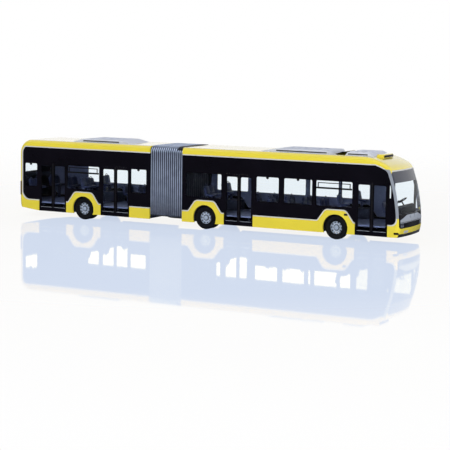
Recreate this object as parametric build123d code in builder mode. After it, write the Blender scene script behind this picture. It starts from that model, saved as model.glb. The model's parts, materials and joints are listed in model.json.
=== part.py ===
from build123d import *
import os
from math import asin, cos, degrees, hypot, radians, sin

os.makedirs("parts", exist_ok=True)

# Overall size of the model, in millimetres: +X forward, +Z up, doors on the -Y side
nose_x = 104.17
tail_x = -104.17
half_width = 14.65
skirt_z = 3.0
roof_z = 38.6
wall = 0.9

# Fits between mouldings and running fits
fit_gap = 0.03
bearing_gap = 0.05
press_gap = 0.02
reach = 3.0
tolerance = 0.001

# Round edge over the roof and down the pillars, and the bow of the end faces in plan
edge_radius = 2.0
nose_plan_radius = 90.0
tail_plan_radius = 95.0

# Nose seen from the side: tucked bumper, raked screen, knee and dome
bumper_z = 8.0
bumper_radius = 14.0
bumper_foot_z = 1.0
cavity_z = 2.0
edge_clear = 1.0
screen_radius = 68.0
screen_top_z = 32.5
knee_radius = 5.4
knee_sweep = 39.0

# Tail seen from the side
tail_radius = 6.6
ramp_length = 13.0
ramp_rise = 1.9

# Insets of the layers in the wall
glass_inset = 0.1
side_inset = 0.25
layer_inset = 0.62
face_inset = 2.4
line_width = 0.5
line_depth = 0.3

# Articulation
front_end_x = -8.2
rear_end_x = -26.3
pleat_count = 16
pleat_depth = 0.7
bellows_half_width = 14.5
bellows_low_z = 3.4
bellows_top_z = 38.9
bellows_wall = 0.9
bellows_gap = 0.1
frame_thickness = 0.8
frame_border = 1.6
bellows_corner = 2.6
tongue_half_width = 6.0
tongue_gap = 0.15
tongue_root = 8.0
pin_tongue_half = 4.0
pin_radius = 1.5

# Axles and wheels
front_axle_x = 71.925
middle_axle_x = 4.109
rear_axle_x = -64.741
tyre_radius = 5.497
tyre_width = 3.1
twin_gap = 0.5
tyre_shoulder = 0.6
rim_radius = 3.4
rim_wall = 0.4
rim_set_back = 0.3
rim_dish = 0.8
disc_thickness = 0.5
hub_radius = 1.2
hub_length = 1.4
hub_proud = 0.35
hand_hole_circle = 2.45
hand_hole_radius = 0.36
hand_hole_count = 10
axle_radius = 0.75
wheel_face_y = 13.75
arch_radius = 6.2
arch_half_foot = 9.1
arch_half_crown = 5.2
arch_crown_z = 14.0
arch_foot_z = 7.0
arch_crown_radius = 3.0
arch_blend = 1.0
arch_zone_radius = 11.0

# Glazed sides
side_top_z = 35.0
skirt_top_z = 8.6
pillar_inset = 2.7
pillar_post = 0.5
tail_inset = 3.0
nose_corner_blend = 2.6
tail_corner_blend = 4.2
window_radius = 0.7
narrow_share = 0.3
pane_thickness = 0.5
pane_inset = 0.05

# Doors on the kerb side: x of each opening's two edges
door_threshold_z = 4.5
door_top_z = 27.3
door_glass_low_z = 5.4
door_glass_top_z = 26.0
door_post = 0.35
door_frame = 0.75
leaf_gap = 0.12
leaf_inset = 0.4
leaf_thickness = 0.55
front_doors_x = ((14.5, 29.9), (81.6, 97.4))
rear_doors_x = ((-91.2, -74.8), (-54.5, -37.8))

# Windows: x from, x to, z from, z to
front_windows_right = (
    (-6.3, 12.9, 15.2, 26.8),
    (31.3, 43.0, 15.2, 26.8),
    (45.6, 60.0, 15.2, 26.8),
    (61.9, 80.0, 15.2, 26.8),
    (97.9, 98.7, 20.5, 26.4),
)
front_windows_left = (
    (-4.3, 12.9, 16.4, 26.8),
    (14.6, 29.8, 16.4, 26.8),
    (31.3, 43.9, 16.4, 26.8),
    (46.1, 61.1, 16.4, 26.8),
    (62.7, 77.0, 16.4, 26.8),
    (85.2, 103.0, 13.8, 26.8),
)
rear_windows_right = (
    (-37.3, -28.4, 15.2, 26.8),
    (-74.3, -55.5, 15.2, 26.8),
    (-100.0, -92.6, 15.2, 26.8),
)
rear_windows_left = (
    (-38.5, -28.4, 16.4, 26.8),
    (-54.3, -40.2, 16.4, 26.8),
    (-71.5, -56.0, 16.4, 26.8),
    (-80.2, -73.0, 16.4, 26.8),
)

# Front face, in the view from ahead
face_depth = 12.0
screen_half = 14.0
screen_low_z = 13.4
display_low_z = 27.4
display_top_z = 32.4
mask_low_z = 7.0
mask_blend = 1.2
trim_low_z = 9.8
trim_top_z = 12.9
trim_shoulder_y = 6.5
trim_tip_y = 13.2
trim_tip_z = 10.9
lamp_from_y = 9.9
lamp_to_y = 13.2
lamp_from_z = 7.3
lamp_to_z = 9.3
slat_half = 8.6
slat_height = 0.28
slat_pitch = 0.62
slat_count = 4
slat_depth = 0.35
pillar_low_z = 11.6
pillar_top_z = 33.4
pillar_depth = 0.4
fog_from_x = 100.5
fog_to_x = 102.5
fog_from_z = 4.3
fog_to_z = 5.3
fog_depth = 0.5

# Rear face, in the view from behind
tail_depth = 6.0
rear_glass_half = 11.2
rear_glass_low_z = 22.0
rear_glass_top_z = 29.0
hatch_half = 10.6
hatch_low_z = 8.6
hatch_top_z = 21.0
louvre_count = 7
louvre_pitch = 1.1
louvre_half = 8.5
louvre_depth = 0.3
tail_lamp_from_y = 12.2
tail_lamp_depth = 2.3
tail_lamp_proud = 0.25
tail_lamp_from_z = 10.5
tail_lamp_to_z = 17.5

# Chassis and inside
plate_low_z = 3.2
plate_thickness = 0.9
inside_gap = 0.15
box_half_length = 7.1
box_top_z = 12.6
box_wall = 0.6
well_radius = 6.4
single_box_depth = 4.6
twin_box_depth = 8.0
bearing_half = 1.5
bearing_width = 1.6
bearing_y = 4.2
floor_low_z = 7.0
floor_thickness = 0.6
seat_width = 4.5
seat_length = 4.4
seat_cushion = 1.0
seat_rise = 4.1
seat_back = 3.9
seat_lean = 0.9
seat_foot = 1.1
seat_leg = 1.1
seat_pedestal = 0.8
seat_step = 3.0
seat_back_thickness = 0.9
window_seat_y = 11.2
aisle_seat_y = 6.6
driver_seat_y = 8.0
dash_from_x = 97.6
dash_depth = 2.9
dash_half = 11.6
dash_top_z = 16.4
dash_slope = 0.8
wheel_x = 95.2
wheel_y = 7.6
wheel_z = 17.4
wheel_radius = 2.7
wheel_rim = 0.22
wheel_tilt = 35.0
column_radius = 0.3
spoke_width = 0.5
spoke_count = 3
axle_clear_radius = 1.3
front_ribs = (-4.0, 25.0, 48.0, 90.0)
rear_ribs = (-95.0, -80.0, -48.0, -36.0)
rib_thickness = 0.8
rib_half = 9.0

# Roof cowls: x from, x to, rear slope, front slope, pads in a row
cowl_half = 9.6
cowl_top_z = 40.2
cowl_sink = 1.5
groove_low_z = 38.8
groove_top_z = 39.45
groove_depth = 0.5
pad_height = 0.15
pad_pitch = 3.6
pad_length = 2.5
pad_width = 6.6
pad_radius = 0.5
pad_row_pitch = 8.6
battery_cowl_front = (31.0, 66.0, 8.0, 1.2, 6)
air_unit_front = (74.0, 88.0, 1.2, 3.0, 3)
battery_cowl_rear = (-74.0, -41.0, 6.0, 6.0, 5)
inlet_to_x = 91.8
inlet_half = 6.0
inlet_top_z = 39.4
inlet_low_z = 38.7
strut_from_x = 67.6
strut_to_x = 72.6
strut_half = 6.5
strut_width = 1.2
strut_height = 1.3

# Places worked out from the sizes above
axle_z = tyre_radius
low_z = skirt_z - reach
bumper_sweep = degrees(asin((bumper_z - bumper_foot_z) / bumper_radius))
nose_axis_x = nose_x - nose_plan_radius
tail_axis_x = tail_x + tail_plan_radius
screen_sweep = degrees(asin((screen_top_z - bumper_z) / screen_radius))
knee_centre_z = bumper_z + (screen_radius - knee_radius) * sin(radians(screen_sweep))
dome_from = screen_sweep + knee_sweep
knee_end_z = knee_centre_z + knee_radius * sin(radians(dome_from))
dome_radius = (roof_z - knee_end_z) / (1 - sin(radians(dome_from)))
pivot_x = (front_end_x + rear_end_x) / 2
plate_top_z = plate_low_z + plate_thickness
floor_top_z = floor_low_z + floor_thickness
front_axles = (middle_axle_x, front_axle_x)
rear_axles = (rear_axle_x,)
face_x = nose_x - face_depth
arch_run = arch_half_foot - arch_half_crown
arch_rise = arch_crown_z - skirt_top_z
arch_shift = (hypot(arch_run, arch_rise) - arch_run) / arch_rise
on_box = (box_top_z, seat_rise)
on_floor = (floor_top_z, seat_rise + seat_pedestal)
on_step = (floor_top_z, seat_rise + seat_step)
lid_z = cowl_top_z - pad_height

# Seat rows: x, side, height stood on with rise of the seat, y of each seat
double = (window_seat_y, aisle_seat_y)
single = (window_seat_y,)
driver = (driver_seat_y,)
front_seat_rows = (
    (3.4, 1, on_box, double),
    (3.4, -1, on_box, double),
    (20.0, 1, on_floor, double),
    (29.0, 1, on_floor, double),
    (38.0, 1, on_floor, double),
    (47.0, 1, on_floor, double),
    (56.0, 1, on_floor, double),
    (37.0, -1, on_floor, double),
    (46.0, -1, on_floor, double),
    (55.0, -1, on_floor, double),
    (72.5, 1, on_box, single),
    (72.5, -1, on_box, single),
    (87.0, 1, on_floor, driver),
)
rear_seat_rows = (
    (-35.0, 1, on_floor, double),
    (-44.0, 1, on_floor, double),
    (-53.0, 1, on_floor, double),
    (-67.0, 1, on_box, double),
    (-67.0, -1, on_box, double),
    (-76.6, 1, on_step, double),
    (-87.0, 1, on_step, double),
    (-98.0, 1, on_step, double),
    (-98.0, -1, on_step, double),
)


def span(u_from, u_to, v_from, v_to, mode=Mode.ADD):
    """Rectangle given by its edges."""
    with Locations(((u_from + u_to) / 2, (v_from + v_to) / 2)):
        Rectangle(u_to - u_from, v_to - v_from, mode=mode)


def soft_span(u_from, u_to, v_from, v_to, radius, grow=0.0, mode=Mode.ADD):
    """Round-cornered rectangle given by its edges."""
    with Locations(((u_from + u_to) / 2, (v_from + v_to) / 2)):
        RectangleRounded(u_to - u_from + 2 * grow, v_to - v_from + 2 * grow, radius, mode=mode)


def block(x_from, x_to, y_from, y_to, z_from, z_to, mode=Mode.ADD):
    """Box given by its faces."""
    with Locations(((x_from + x_to) / 2, (y_from + y_to) / 2, (z_from + z_to) / 2)):
        Box(x_to - x_from, y_to - y_from, z_to - z_from, mode=mode)


def nose_outline(inset):
    """Side outline of the nose: bumper, raked screen, knee and dome, parallel to the outer one."""
    with BuildSketch() as outline:
        with BuildLine():
            bumper = CenterArc((nose_x - bumper_radius, bumper_z), bumper_radius - inset,
                               -bumper_sweep, bumper_sweep)
            screen = CenterArc((nose_x - screen_radius, bumper_z), screen_radius - inset, 0, screen_sweep)
            knee = JernArc(screen @ 1, screen % 1, knee_radius - inset, knee_sweep)
            dome = JernArc(knee @ 1, knee % 1, dome_radius - inset, 90 - dome_from)
            Polyline(dome @ 1, (nose_axis_x, roof_z - inset), (nose_axis_x, low_z),
                     ((bumper @ 0).X, low_z), bumper @ 0)
        make_face()
    return outline.sketch


def tail_outline(inset):
    """Side outline of the tail: tucked bumper, upright back and round top edge."""
    with BuildSketch() as outline:
        with BuildLine():
            top = CenterArc((tail_x + tail_radius, roof_z - tail_radius), tail_radius - inset, 90, 90)
            bumper = CenterArc((tail_x + bumper_radius, bumper_z), bumper_radius - inset, 180, bumper_sweep)
            Line(top @ 1, bumper @ 0)
            Polyline(bumper @ 1, ((bumper @ 1).X, low_z), (tail_axis_x, low_z),
                     (tail_axis_x, roof_z - inset), top @ 0)
        make_face()
    return outline.sketch


def car_form(outline, axis_x, x_from, x_to, inset, floor_z):
    """Solid form of a car, inset from its outer skin: one round edge runs over roof and pillars."""
    side = half_width - inset
    with BuildPart() as form:
        block(x_from, x_to, -side, side, floor_z, roof_z - inset)
        with BuildSketch(Plane.XZ):
            add(outline(inset))
        revolve(axis=Axis((axis_x, 0, 0), (0, 0, 1)), mode=Mode.INTERSECT)
        faces = form.faces().filter_by(Axis.Y)
        rims = faces.edges().filter_by(lambda e: e.center().Z > floor_z + edge_clear)
        rims = rims.filter_by(lambda e: x_from + edge_clear < e.center().X < x_to - edge_clear)
        fillet(rims, edge_radius - inset)
    return form.part


def front_form(inset, floor_z=skirt_z, end_x=front_end_x):
    return car_form(nose_outline, nose_axis_x, end_x, nose_x + reach, inset, floor_z)


def rear_form(inset, floor_z=skirt_z, end_x=rear_end_x):
    return car_form(tail_outline, tail_axis_x, tail_x - reach, end_x, inset, floor_z)


def front_layer(outer_inset, inner_inset):
    """The front car's wall between two insets, open below and at its rear end."""
    with BuildPart() as layer:
        add(front_form(outer_inset))
        add(front_form(inner_inset, cavity_z, front_end_x - reach), mode=Mode.SUBTRACT)
    return layer.part


def rear_layer(outer_inset, inner_inset):
    """The rear car's wall between two insets, open below and at its front end."""
    with BuildPart() as layer:
        add(rear_form(outer_inset))
        add(rear_form(inner_inset, cavity_z, rear_end_x + reach), mode=Mode.SUBTRACT)
    return layer.part


def skirts_between(doors):
    """Stretches of skirt left between the doors."""
    stops = [tail_x - reach] + [x for door in doors for x in door] + [nose_x + reach]
    return list(zip(stops[0::2], stops[1::2]))


def arch_outline(gap):
    """Outline of a wheel arch surround about its axle: upright foot, slanted sides and flat crown."""
    foot = arch_half_foot + gap * arch_shift
    crown = arch_half_crown + gap * arch_shift
    with BuildSketch() as outline:
        with BuildLine():
            Polyline((0, arch_foot_z), (foot, arch_foot_z), (foot, skirt_top_z + gap),
                     (crown, arch_crown_z + gap), (0, arch_crown_z + gap))
            mirror(about=Plane.YZ)
        make_face()
    return outline.sketch


def side_region(outline, inset, x_from, x_to, doors, axles, corner_blend, gap, door_gap):
    """Outline of a car's black window wall: the car's own outline, less skirts and arch surrounds."""
    foot = arch_half_foot + gap * arch_shift
    with BuildSketch() as region:
        add(outline(inset + gap))
        span(x_from, x_to, low_z, side_top_z - gap)
        span(tail_x - reach, nose_x + reach, low_z, side_top_z - gap, mode=Mode.INTERSECT)
        for skirt_from, skirt_to in skirts_between(doors):
            span(skirt_from - door_gap, skirt_to + door_gap, low_z - reach, skirt_top_z + gap,
                 mode=Mode.SUBTRACT)
        for axle_x in axles:
            with Locations((axle_x, 0)):
                add(arch_outline(gap), mode=Mode.SUBTRACT)
        crowns = region.vertices().filter_by(lambda v: abs(v.Y - arch_crown_z - gap) < tolerance)
        fillet(crowns, arch_crown_radius + gap)
        shoulder = region.vertices().filter_by(lambda v: abs(v.Y - skirt_top_z - gap) < tolerance)
        blends = shoulder.filter_by(lambda v: min(abs(abs(v.X - x) - foot) for x in axles) < tolerance)
        fillet(blends, arch_blend)
        ends = region.vertices().filter_by(lambda v: abs(v.Y - skirt_top_z - gap) < tolerance)
        corner = ends.filter_by(lambda v: v.X > nose_x - inset - reach or v.X < tail_x + inset + reach)
        fillet(corner, corner_blend)
    return region.sketch


def front_side_region(doors, gap=0.0, door_gap=0.0):
    return side_region(nose_outline, pillar_inset, front_end_x - reach, front_axle_x, doors,
                       front_axles, nose_corner_blend, gap, door_gap)


def rear_side_region(doors, gap=0.0, door_gap=0.0):
    return side_region(tail_outline, tail_inset, rear_axle_x, rear_end_x + reach, doors,
                       rear_axles, tail_corner_blend, gap, door_gap)


def edge_lines(layer, side_outline, kerb_doors, gap=0.0):
    """Bright lines let into the wall along the edges of the window walls, clear of the pillar strips."""
    with BuildPart() as lines:
        for doors, side in ((kerb_doors, -1), ((), 1)):
            with BuildSketch(Plane.XZ):
                add(side_outline(doors, gap - line_width))
                add(side_outline(doors), mode=Mode.SUBTRACT)
                span(tail_x - reach, nose_x + reach, low_z - reach, skirt_top_z + gap - line_width,
                     mode=Mode.SUBTRACT)
                add(pillar_outline(-gap), mode=Mode.SUBTRACT)
            extrude(amount=-side * (half_width + reach))
        add(layer, mode=Mode.INTERSECT)
    return lines.part


def door_openings(doors):
    """Openings for the doors, between their posts: x from, x to."""
    return [(door_from + door_post, door_to - door_post) for door_from, door_to in doors]


def door_leaves(doors):
    """Two leaves to each opening: x from, x to."""
    leaves = []
    for x_from, x_to in door_openings(doors):
        middle = (x_from + x_to) / 2
        leaves.append((x_from + fit_gap, middle - leaf_gap / 2))
        leaves.append((middle + leaf_gap / 2, x_to - fit_gap))
    return leaves


def window_round(x_from, x_to):
    """Corner radius of a window, smaller in a narrow one."""
    return min(window_radius, narrow_share * (x_to - x_from))


def window_wall(layer, region, windows, doors, side):
    """Black side wall of a car with its windows and door openings cut through; side is -1 for the kerb."""
    with BuildPart() as panel:
        add(layer)
        with BuildSketch(Plane.XZ):
            add(region)
        extrude(amount=-side * (half_width + reach), mode=Mode.INTERSECT)
        with BuildSketch(Plane.XZ):
            for x_from, x_to, z_from, z_to in windows:
                soft_span(x_from, x_to, z_from, z_to, window_round(x_from, x_to))
            add(pillar_outline(-pillar_post), mode=Mode.SUBTRACT)
            for x_from, x_to in door_openings(doors):
                span(x_from, x_to, door_threshold_z, door_top_z)
        extrude(amount=-side * (half_width + reach), mode=Mode.SUBTRACT)
    return panel.part


def side_panes(windows, doors, side):
    """Glass of one side: a pane in each window and in each door leaf."""
    outer_y = half_width - side_inset - pane_inset
    leaf_y = half_width - leaf_inset - pane_inset
    with BuildPart() as panes:
        with BuildSketch(Plane.XZ.offset(-side * outer_y)):
            for x_from, x_to, z_from, z_to in windows:
                radius = window_round(x_from, x_to) - fit_gap
                soft_span(x_from, x_to, z_from, z_to, radius, grow=-fit_gap)
            add(pillar_outline(-pillar_post - fit_gap), mode=Mode.SUBTRACT)
        extrude(amount=side * pane_thickness)
        if doors:
            with BuildSketch(Plane.XZ.offset(-side * leaf_y)):
                for x_from, x_to in door_leaves(doors):
                    soft_span(x_from + door_frame, x_to - door_frame, door_glass_low_z, door_glass_top_z,
                              window_radius - fit_gap, grow=-fit_gap)
            extrude(amount=side * (leaf_thickness - pane_inset))
    return panes.part


def doors_of(doors):
    """Framed door leaves, flush with each other and set back from the wall."""
    with BuildPart() as leaves:
        with BuildSketch(Plane.XZ.offset(half_width - leaf_inset)):
            for x_from, x_to in door_leaves(doors):
                span(x_from, x_to, door_threshold_z + fit_gap, door_top_z - fit_gap)
                soft_span(x_from + door_frame, x_to - door_frame, door_glass_low_z, door_glass_top_z,
                          window_radius, mode=Mode.SUBTRACT)
        extrude(amount=-leaf_thickness)
    return leaves.part


def arch_cut(axle_x, radius, y_from, y_to):
    """Round wheel opening, cut from one y to another."""
    with Locations(Location((axle_x, (y_from + y_to) / 2, axle_z), (90, 0, 0))):
        Cylinder(radius, abs(y_to - y_from), mode=Mode.SUBTRACT)


def trim_outline(gap=0.0):
    """Wing-shaped bright panel under the windscreen."""
    with BuildSketch() as outline:
        with BuildLine():
            Polyline((0, trim_low_z + gap), (trim_tip_y - gap, trim_low_z + gap),
                     (trim_tip_y - gap, trim_tip_z - gap), (trim_shoulder_y, trim_top_z - gap),
                     (0, trim_top_z - gap))
            mirror(about=Plane.YZ)
        make_face()
    return outline.sketch


def lamp_outline(gap=0.0):
    with BuildSketch() as outline:
        for side in (-1, 1):
            inner_y, outer_y = sorted((side * lamp_from_y, side * lamp_to_y))
            span(inner_y + gap, outer_y - gap, lamp_from_z + gap, lamp_to_z - gap)
    return outline.sketch


def corner_lamps(layer, x_from, x_to, half_y, z_from, z_to, gap=0.0):
    """A pair of lamps that wrap the corners of a car, cut from a layer of its wall."""
    with BuildPart() as lamps:
        add(layer)
        block(x_from + gap, x_to - gap, -half_width, half_width, z_from + gap, z_to - gap,
              mode=Mode.INTERSECT)
        block(tail_x - reach, nose_x + reach, -half_y - gap, half_y + gap, low_z, roof_z, mode=Mode.SUBTRACT)
    return lamps.part


def face_outline(half, z_from, z_to, radius, gap=0.0):
    with BuildSketch() as outline:
        soft_span(-half + gap, half - gap, z_from + gap, z_to - gap, radius)
    return outline.sketch


def nose_zone(outline, inset=face_inset):
    """Space ahead of the side walls, with an outline drawn in the view from ahead."""
    with BuildPart() as zone:
        with BuildSketch(Plane.YZ.offset(face_x)):
            add(outline)
        extrude(amount=nose_x + reach - face_x)
        with BuildSketch(Plane.XZ):
            add(nose_outline(inset))
        extrude(amount=half_width + reach, both=True, mode=Mode.SUBTRACT)
    return zone.part


def face_piece(layer, outline):
    """Piece of the front wall with an outline drawn in the view from ahead."""
    with BuildPart() as piece:
        add(layer)
        add(nose_zone(outline, face_inset - fit_gap), mode=Mode.INTERSECT)
    return piece.part


def brow_line(layer, gap=0.0):
    """Bright line let into the wall over the display."""
    with BuildSketch() as outline:
        soft_span(-screen_half, screen_half, mask_low_z, display_top_z + line_width - gap, mask_blend)
        add(face_outline(screen_half, mask_low_z, display_top_z, mask_blend), mode=Mode.SUBTRACT)
        span(-screen_half + line_width + gap, screen_half - line_width - gap, display_low_z, roof_z,
             mode=Mode.INTERSECT)
    with BuildPart() as line:
        add(layer)
        add(nose_zone(outline.sketch), mode=Mode.INTERSECT)
    return line.part


def pillar_outline(gap=0.0):
    """Strip ahead of the window wall, seen from the side."""
    with BuildSketch() as outline:
        add(nose_outline(-reach))
        add(nose_outline(pillar_inset - gap), mode=Mode.SUBTRACT)
        span(front_axle_x, nose_x + 2 * reach, pillar_low_z + gap, pillar_top_z - gap, mode=Mode.INTERSECT)
    return outline.sketch


def pillar_strips(depth, gap=0.0):
    """Strips of the outer wall between windscreen and window walls, as deep as asked."""
    with BuildPart() as strips:
        add(front_layer(0, depth))
        block(tail_x, nose_x + reach, -screen_half - gap, screen_half + gap, low_z, roof_z + reach,
              mode=Mode.SUBTRACT)
        with BuildSketch(Plane.XZ):
            add(pillar_outline(gap))
        extrude(amount=half_width + reach, both=True, mode=Mode.INTERSECT)
    return strips.part


def lower_zone(axles):
    """Side view of what belongs to the skirts: all below their top line, and the arch surrounds."""
    with BuildSketch() as zone:
        span(tail_x - reach, nose_x + reach, low_z, skirt_top_z)
        for axle_x in axles:
            with Locations((axle_x, axle_z)):
                Circle(arch_zone_radius)
    return zone.sketch


def shell_part(shell, axles, mode):
    """The skirts of a shell with mode INTERSECT, or all the rest with mode SUBTRACT."""
    with BuildPart() as piece:
        add(shell)
        with BuildSketch(Plane.XZ):
            add(lower_zone(axles))
        extrude(amount=half_width + reach, both=True, mode=mode)
    return piece.part


def wheel_box(axle_x, depth):
    """A pair of boxes over the wheels, with round wells open to the side and below."""
    outer_y = half_width - wall - inside_gap
    for side in (-1, 1):
        box_y = sorted((side * (outer_y - depth), side * outer_y))
        block(axle_x - box_half_length, axle_x + box_half_length, *box_y, plate_low_z, box_top_z)
        well = sorted((side * (outer_y - depth + box_wall), side * (half_width + reach)))
        arch_cut(axle_x, well_radius, *well)
        block(axle_x - well_radius, axle_x + well_radius, *well, low_z, axle_z, mode=Mode.SUBTRACT)
    arch_cut(axle_x, axle_clear_radius, -half_width, half_width)


def axle_bearings(axle_x):
    """Two bored blocks that carry an axle."""
    for side in (-1, 1):
        block(axle_x - bearing_half, axle_x + bearing_half, side * bearing_y - bearing_width / 2,
              side * bearing_y + bearing_width / 2, plate_top_z, floor_low_z)
    arch_cut(axle_x, axle_radius + bearing_gap, -half_width, half_width)


def floor_plate(form, axle_boxes):
    """Cabin floor, cut round the wheel boxes: axle_boxes holds axle x and box depth."""
    with BuildPart() as floor:
        add(form)
        block(tail_x, nose_x, -half_width, half_width, floor_low_z, floor_top_z, mode=Mode.INTERSECT)
        for axle_x, depth in axle_boxes:
            inner_y = half_width - wall - inside_gap - depth - fit_gap
            for side in (-1, 1):
                box_y = sorted((side * inner_y, side * (half_width + reach)))
                block(axle_x - box_half_length - fit_gap, axle_x + box_half_length + fit_gap, *box_y,
                      low_z, roof_z, mode=Mode.SUBTRACT)
    return floor.part


def seats_at(rows):
    """Moulded seats facing forward, each on a leg, from a table of rows."""
    with BuildPart() as seats:
        for x, y, (base_z, rise) in [(x, side * y, stand) for x, side, stand, ys in rows for y in ys]:
            shell_z = rise - seat_cushion
            back_z = rise + seat_back
            with BuildSketch(Plane((x, y, base_z), x_dir=(1, 0, 0), z_dir=(0, -1, 0))):
                with BuildLine():
                    Polyline((seat_foot, 0), (seat_foot + seat_leg, 0), (seat_foot + seat_leg, shell_z),
                             (seat_length, shell_z), (seat_length, rise), (seat_back_thickness, rise),
                             (seat_back_thickness - seat_lean, back_z), (-seat_lean, back_z),
                             (0, shell_z), (seat_foot, shell_z), (seat_foot, 0))
                make_face()
            extrude(amount=seat_width / 2, both=True)
    return seats.part


def end_frame(x_from, x_to):
    """Hoop that closes a car's end round the gangway and carries the bellows."""
    side = half_width - wall - inside_gap
    top_z = roof_z - wall - inside_gap
    with BuildPart() as hoop:
        with BuildSketch(Plane.YZ.offset(x_from)):
            span(-side, side, floor_top_z, top_z)
        extrude(amount=x_to - x_from)
        tops = hoop.edges().filter_by(Axis.X).filter_by(lambda e: e.center().Z > top_z - edge_clear)
        fillet(tops, edge_radius - wall)
        block(x_from - reach, x_to + reach, -side + frame_border, side - frame_border,
              floor_top_z - reach, top_z - frame_border, mode=Mode.SUBTRACT)
    return hoop.part


def cowl(x_from, x_to, rear_slope, front_slope, pads, form):
    """Roof cowl with sloping ends, a groove along each side and two rows of pads on its lid."""
    middle = (x_from + rear_slope + x_to - front_slope) / 2
    with BuildPart() as cover:
        with BuildSketch(Plane.XZ):
            with BuildLine():
                Polyline((x_from, roof_z - cowl_sink), (x_to, roof_z - cowl_sink), (x_to, roof_z),
                         (x_to - front_slope, lid_z), (x_from + rear_slope, lid_z), (x_from, roof_z),
                         close=True)
            make_face()
        extrude(amount=cowl_half, both=True)
        with BuildSketch(Plane.XY.offset(lid_z)):
            with Locations((middle, 0)):
                with GridLocations(pad_pitch, pad_row_pitch, pads, 2):
                    RectangleRounded(pad_length, pad_width, pad_radius)
        extrude(amount=pad_height)
        add(cowl_strips(x_from, x_to, rear_slope, front_slope), mode=Mode.SUBTRACT)
        add(form, mode=Mode.SUBTRACT)
    return cover.part


def cowl_strips(x_from, x_to, rear_slope, front_slope, gap=0.0):
    """Bars that lie in the side grooves of a cowl."""
    with BuildPart() as strips:
        for side in (-1, 1):
            strip_y = sorted((side * (cowl_half - groove_depth + gap), side * (cowl_half - gap)))
            block(x_from + rear_slope + gap, x_to - front_slope - gap, *strip_y,
                  groove_low_z + gap, groove_top_z - gap)
    return strips.part


def tyres_of(axle_x, twin):
    """Both wheels' tyres on one axle; twin wheels have two tyres side by side."""
    with BuildPart() as tyres:
        with BuildSketch(Plane.YZ.offset(axle_x)):
            for place in range(2 if twin else 1):
                outer_y = wheel_face_y - place * (tyre_width + twin_gap)
                soft_span(outer_y - tyre_width, outer_y, axle_z + rim_radius, axle_z + tyre_radius,
                          tyre_shoulder)
        revolve(axis=Axis((axle_x, 0, axle_z), (0, 1, 0)))
        mirror(about=Plane.XZ)
    return tyres.part


def rims_of(axle_x, twin):
    """Both wheels' rims on one axle: barrel, dished disc with hand holes, and hub."""
    barrel_y = wheel_face_y - (2 * tyre_width + twin_gap if twin else tyre_width)
    face_y = wheel_face_y - rim_set_back
    disc_y = face_y - rim_dish
    with BuildPart() as rims:
        with BuildSketch(Plane.YZ.offset(axle_x)):
            span(barrel_y + rim_set_back, face_y, axle_z + rim_radius - rim_wall,
                 axle_z + rim_radius - press_gap)
            span(disc_y - disc_thickness, disc_y, axle_z, axle_z + rim_radius - rim_wall / 2)
            span(disc_y - hub_length, disc_y + hub_proud, axle_z, axle_z + hub_radius)
        revolve(axis=Axis((axle_x, 0, axle_z), (0, 1, 0)))
        with BuildSketch(Plane((axle_x, disc_y + hub_proud, axle_z), x_dir=(1, 0, 0), z_dir=(0, -1, 0))):
            with PolarLocations(hand_hole_circle, hand_hole_count):
                Circle(hand_hole_radius)
        extrude(amount=hub_length + hub_proud, mode=Mode.SUBTRACT)
        with BuildSketch(Plane((axle_x, disc_y - hub_length, axle_z), x_dir=(1, 0, 0), z_dir=(0, 1, 0))):
            Circle(axle_radius + press_gap)
        extrude(amount=hub_length, mode=Mode.SUBTRACT)
        mirror(about=Plane.XZ)
    return rims.part


def axle_of(axle_x):
    length = 2 * (wheel_face_y - rim_set_back - rim_dish) - 2 * fit_gap
    with BuildPart() as axle:
        with Locations(Location((axle_x, 0, axle_z), (90, 0, 0))):
            Cylinder(axle_radius, length)
    return axle.part


def save(piece, name):
    piece.label = name
    export_step(piece, f"parts/{name}.step")


# Layers of the two cars' walls
front_skin = front_layer(0, wall)
front_wall = front_layer(side_inset, wall)
front_glass = front_layer(glass_inset, layer_inset)
front_face = front_layer(glass_inset, wall)
rear_skin = rear_layer(0, wall)
rear_wall = rear_layer(side_inset, wall)
rear_glass = rear_layer(glass_inset, layer_inset)
rear_face = rear_layer(glass_inset, wall)

# Front shell: roof, dome and pillars, with the skirts, arch surrounds and bumper as pieces below it
mask_opening = face_outline(screen_half, mask_low_z, display_top_z, mask_blend)
fog_place = (fog_from_x, fog_to_x, screen_half - fog_depth, fog_from_z, fog_to_z)
with BuildPart() as front_body:
    add(front_skin)
    for doors, side in ((front_doors_x, -1), ((), 1)):
        with BuildSketch(Plane.XZ):
            add(front_side_region(doors))
        extrude(amount=-side * (half_width + reach), mode=Mode.SUBTRACT)
    add(nose_zone(mask_opening), mode=Mode.SUBTRACT)
    add(pillar_strips(pillar_depth), mode=Mode.SUBTRACT)
    add(edge_lines(front_layer(0, line_depth), front_side_region, front_doors_x), mode=Mode.SUBTRACT)
    add(brow_line(front_layer(0, line_depth)), mode=Mode.SUBTRACT)
    add(corner_lamps(front_layer(0, fog_depth), *fog_place), mode=Mode.SUBTRACT)
    for axle_x in front_axles:
        arch_cut(axle_x, arch_radius, -half_width - reach, half_width + reach)
save(shell_part(front_body.part, front_axles, Mode.SUBTRACT), "front_shell")
save(shell_part(front_body.part, front_axles, Mode.INTERSECT), "front_skirts")
line_layer = front_layer(0, line_depth - fit_gap)
with BuildPart() as front_lines:
    add(edge_lines(line_layer, front_side_region, front_doors_x, fit_gap))
    add(brow_line(line_layer, fit_gap))
save(front_lines.part, "front_lines")
fog_layer = front_layer(glass_inset, fog_depth - fit_gap)
save(corner_lamps(fog_layer, *fog_place, fit_gap), "fog_lamps")

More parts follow.
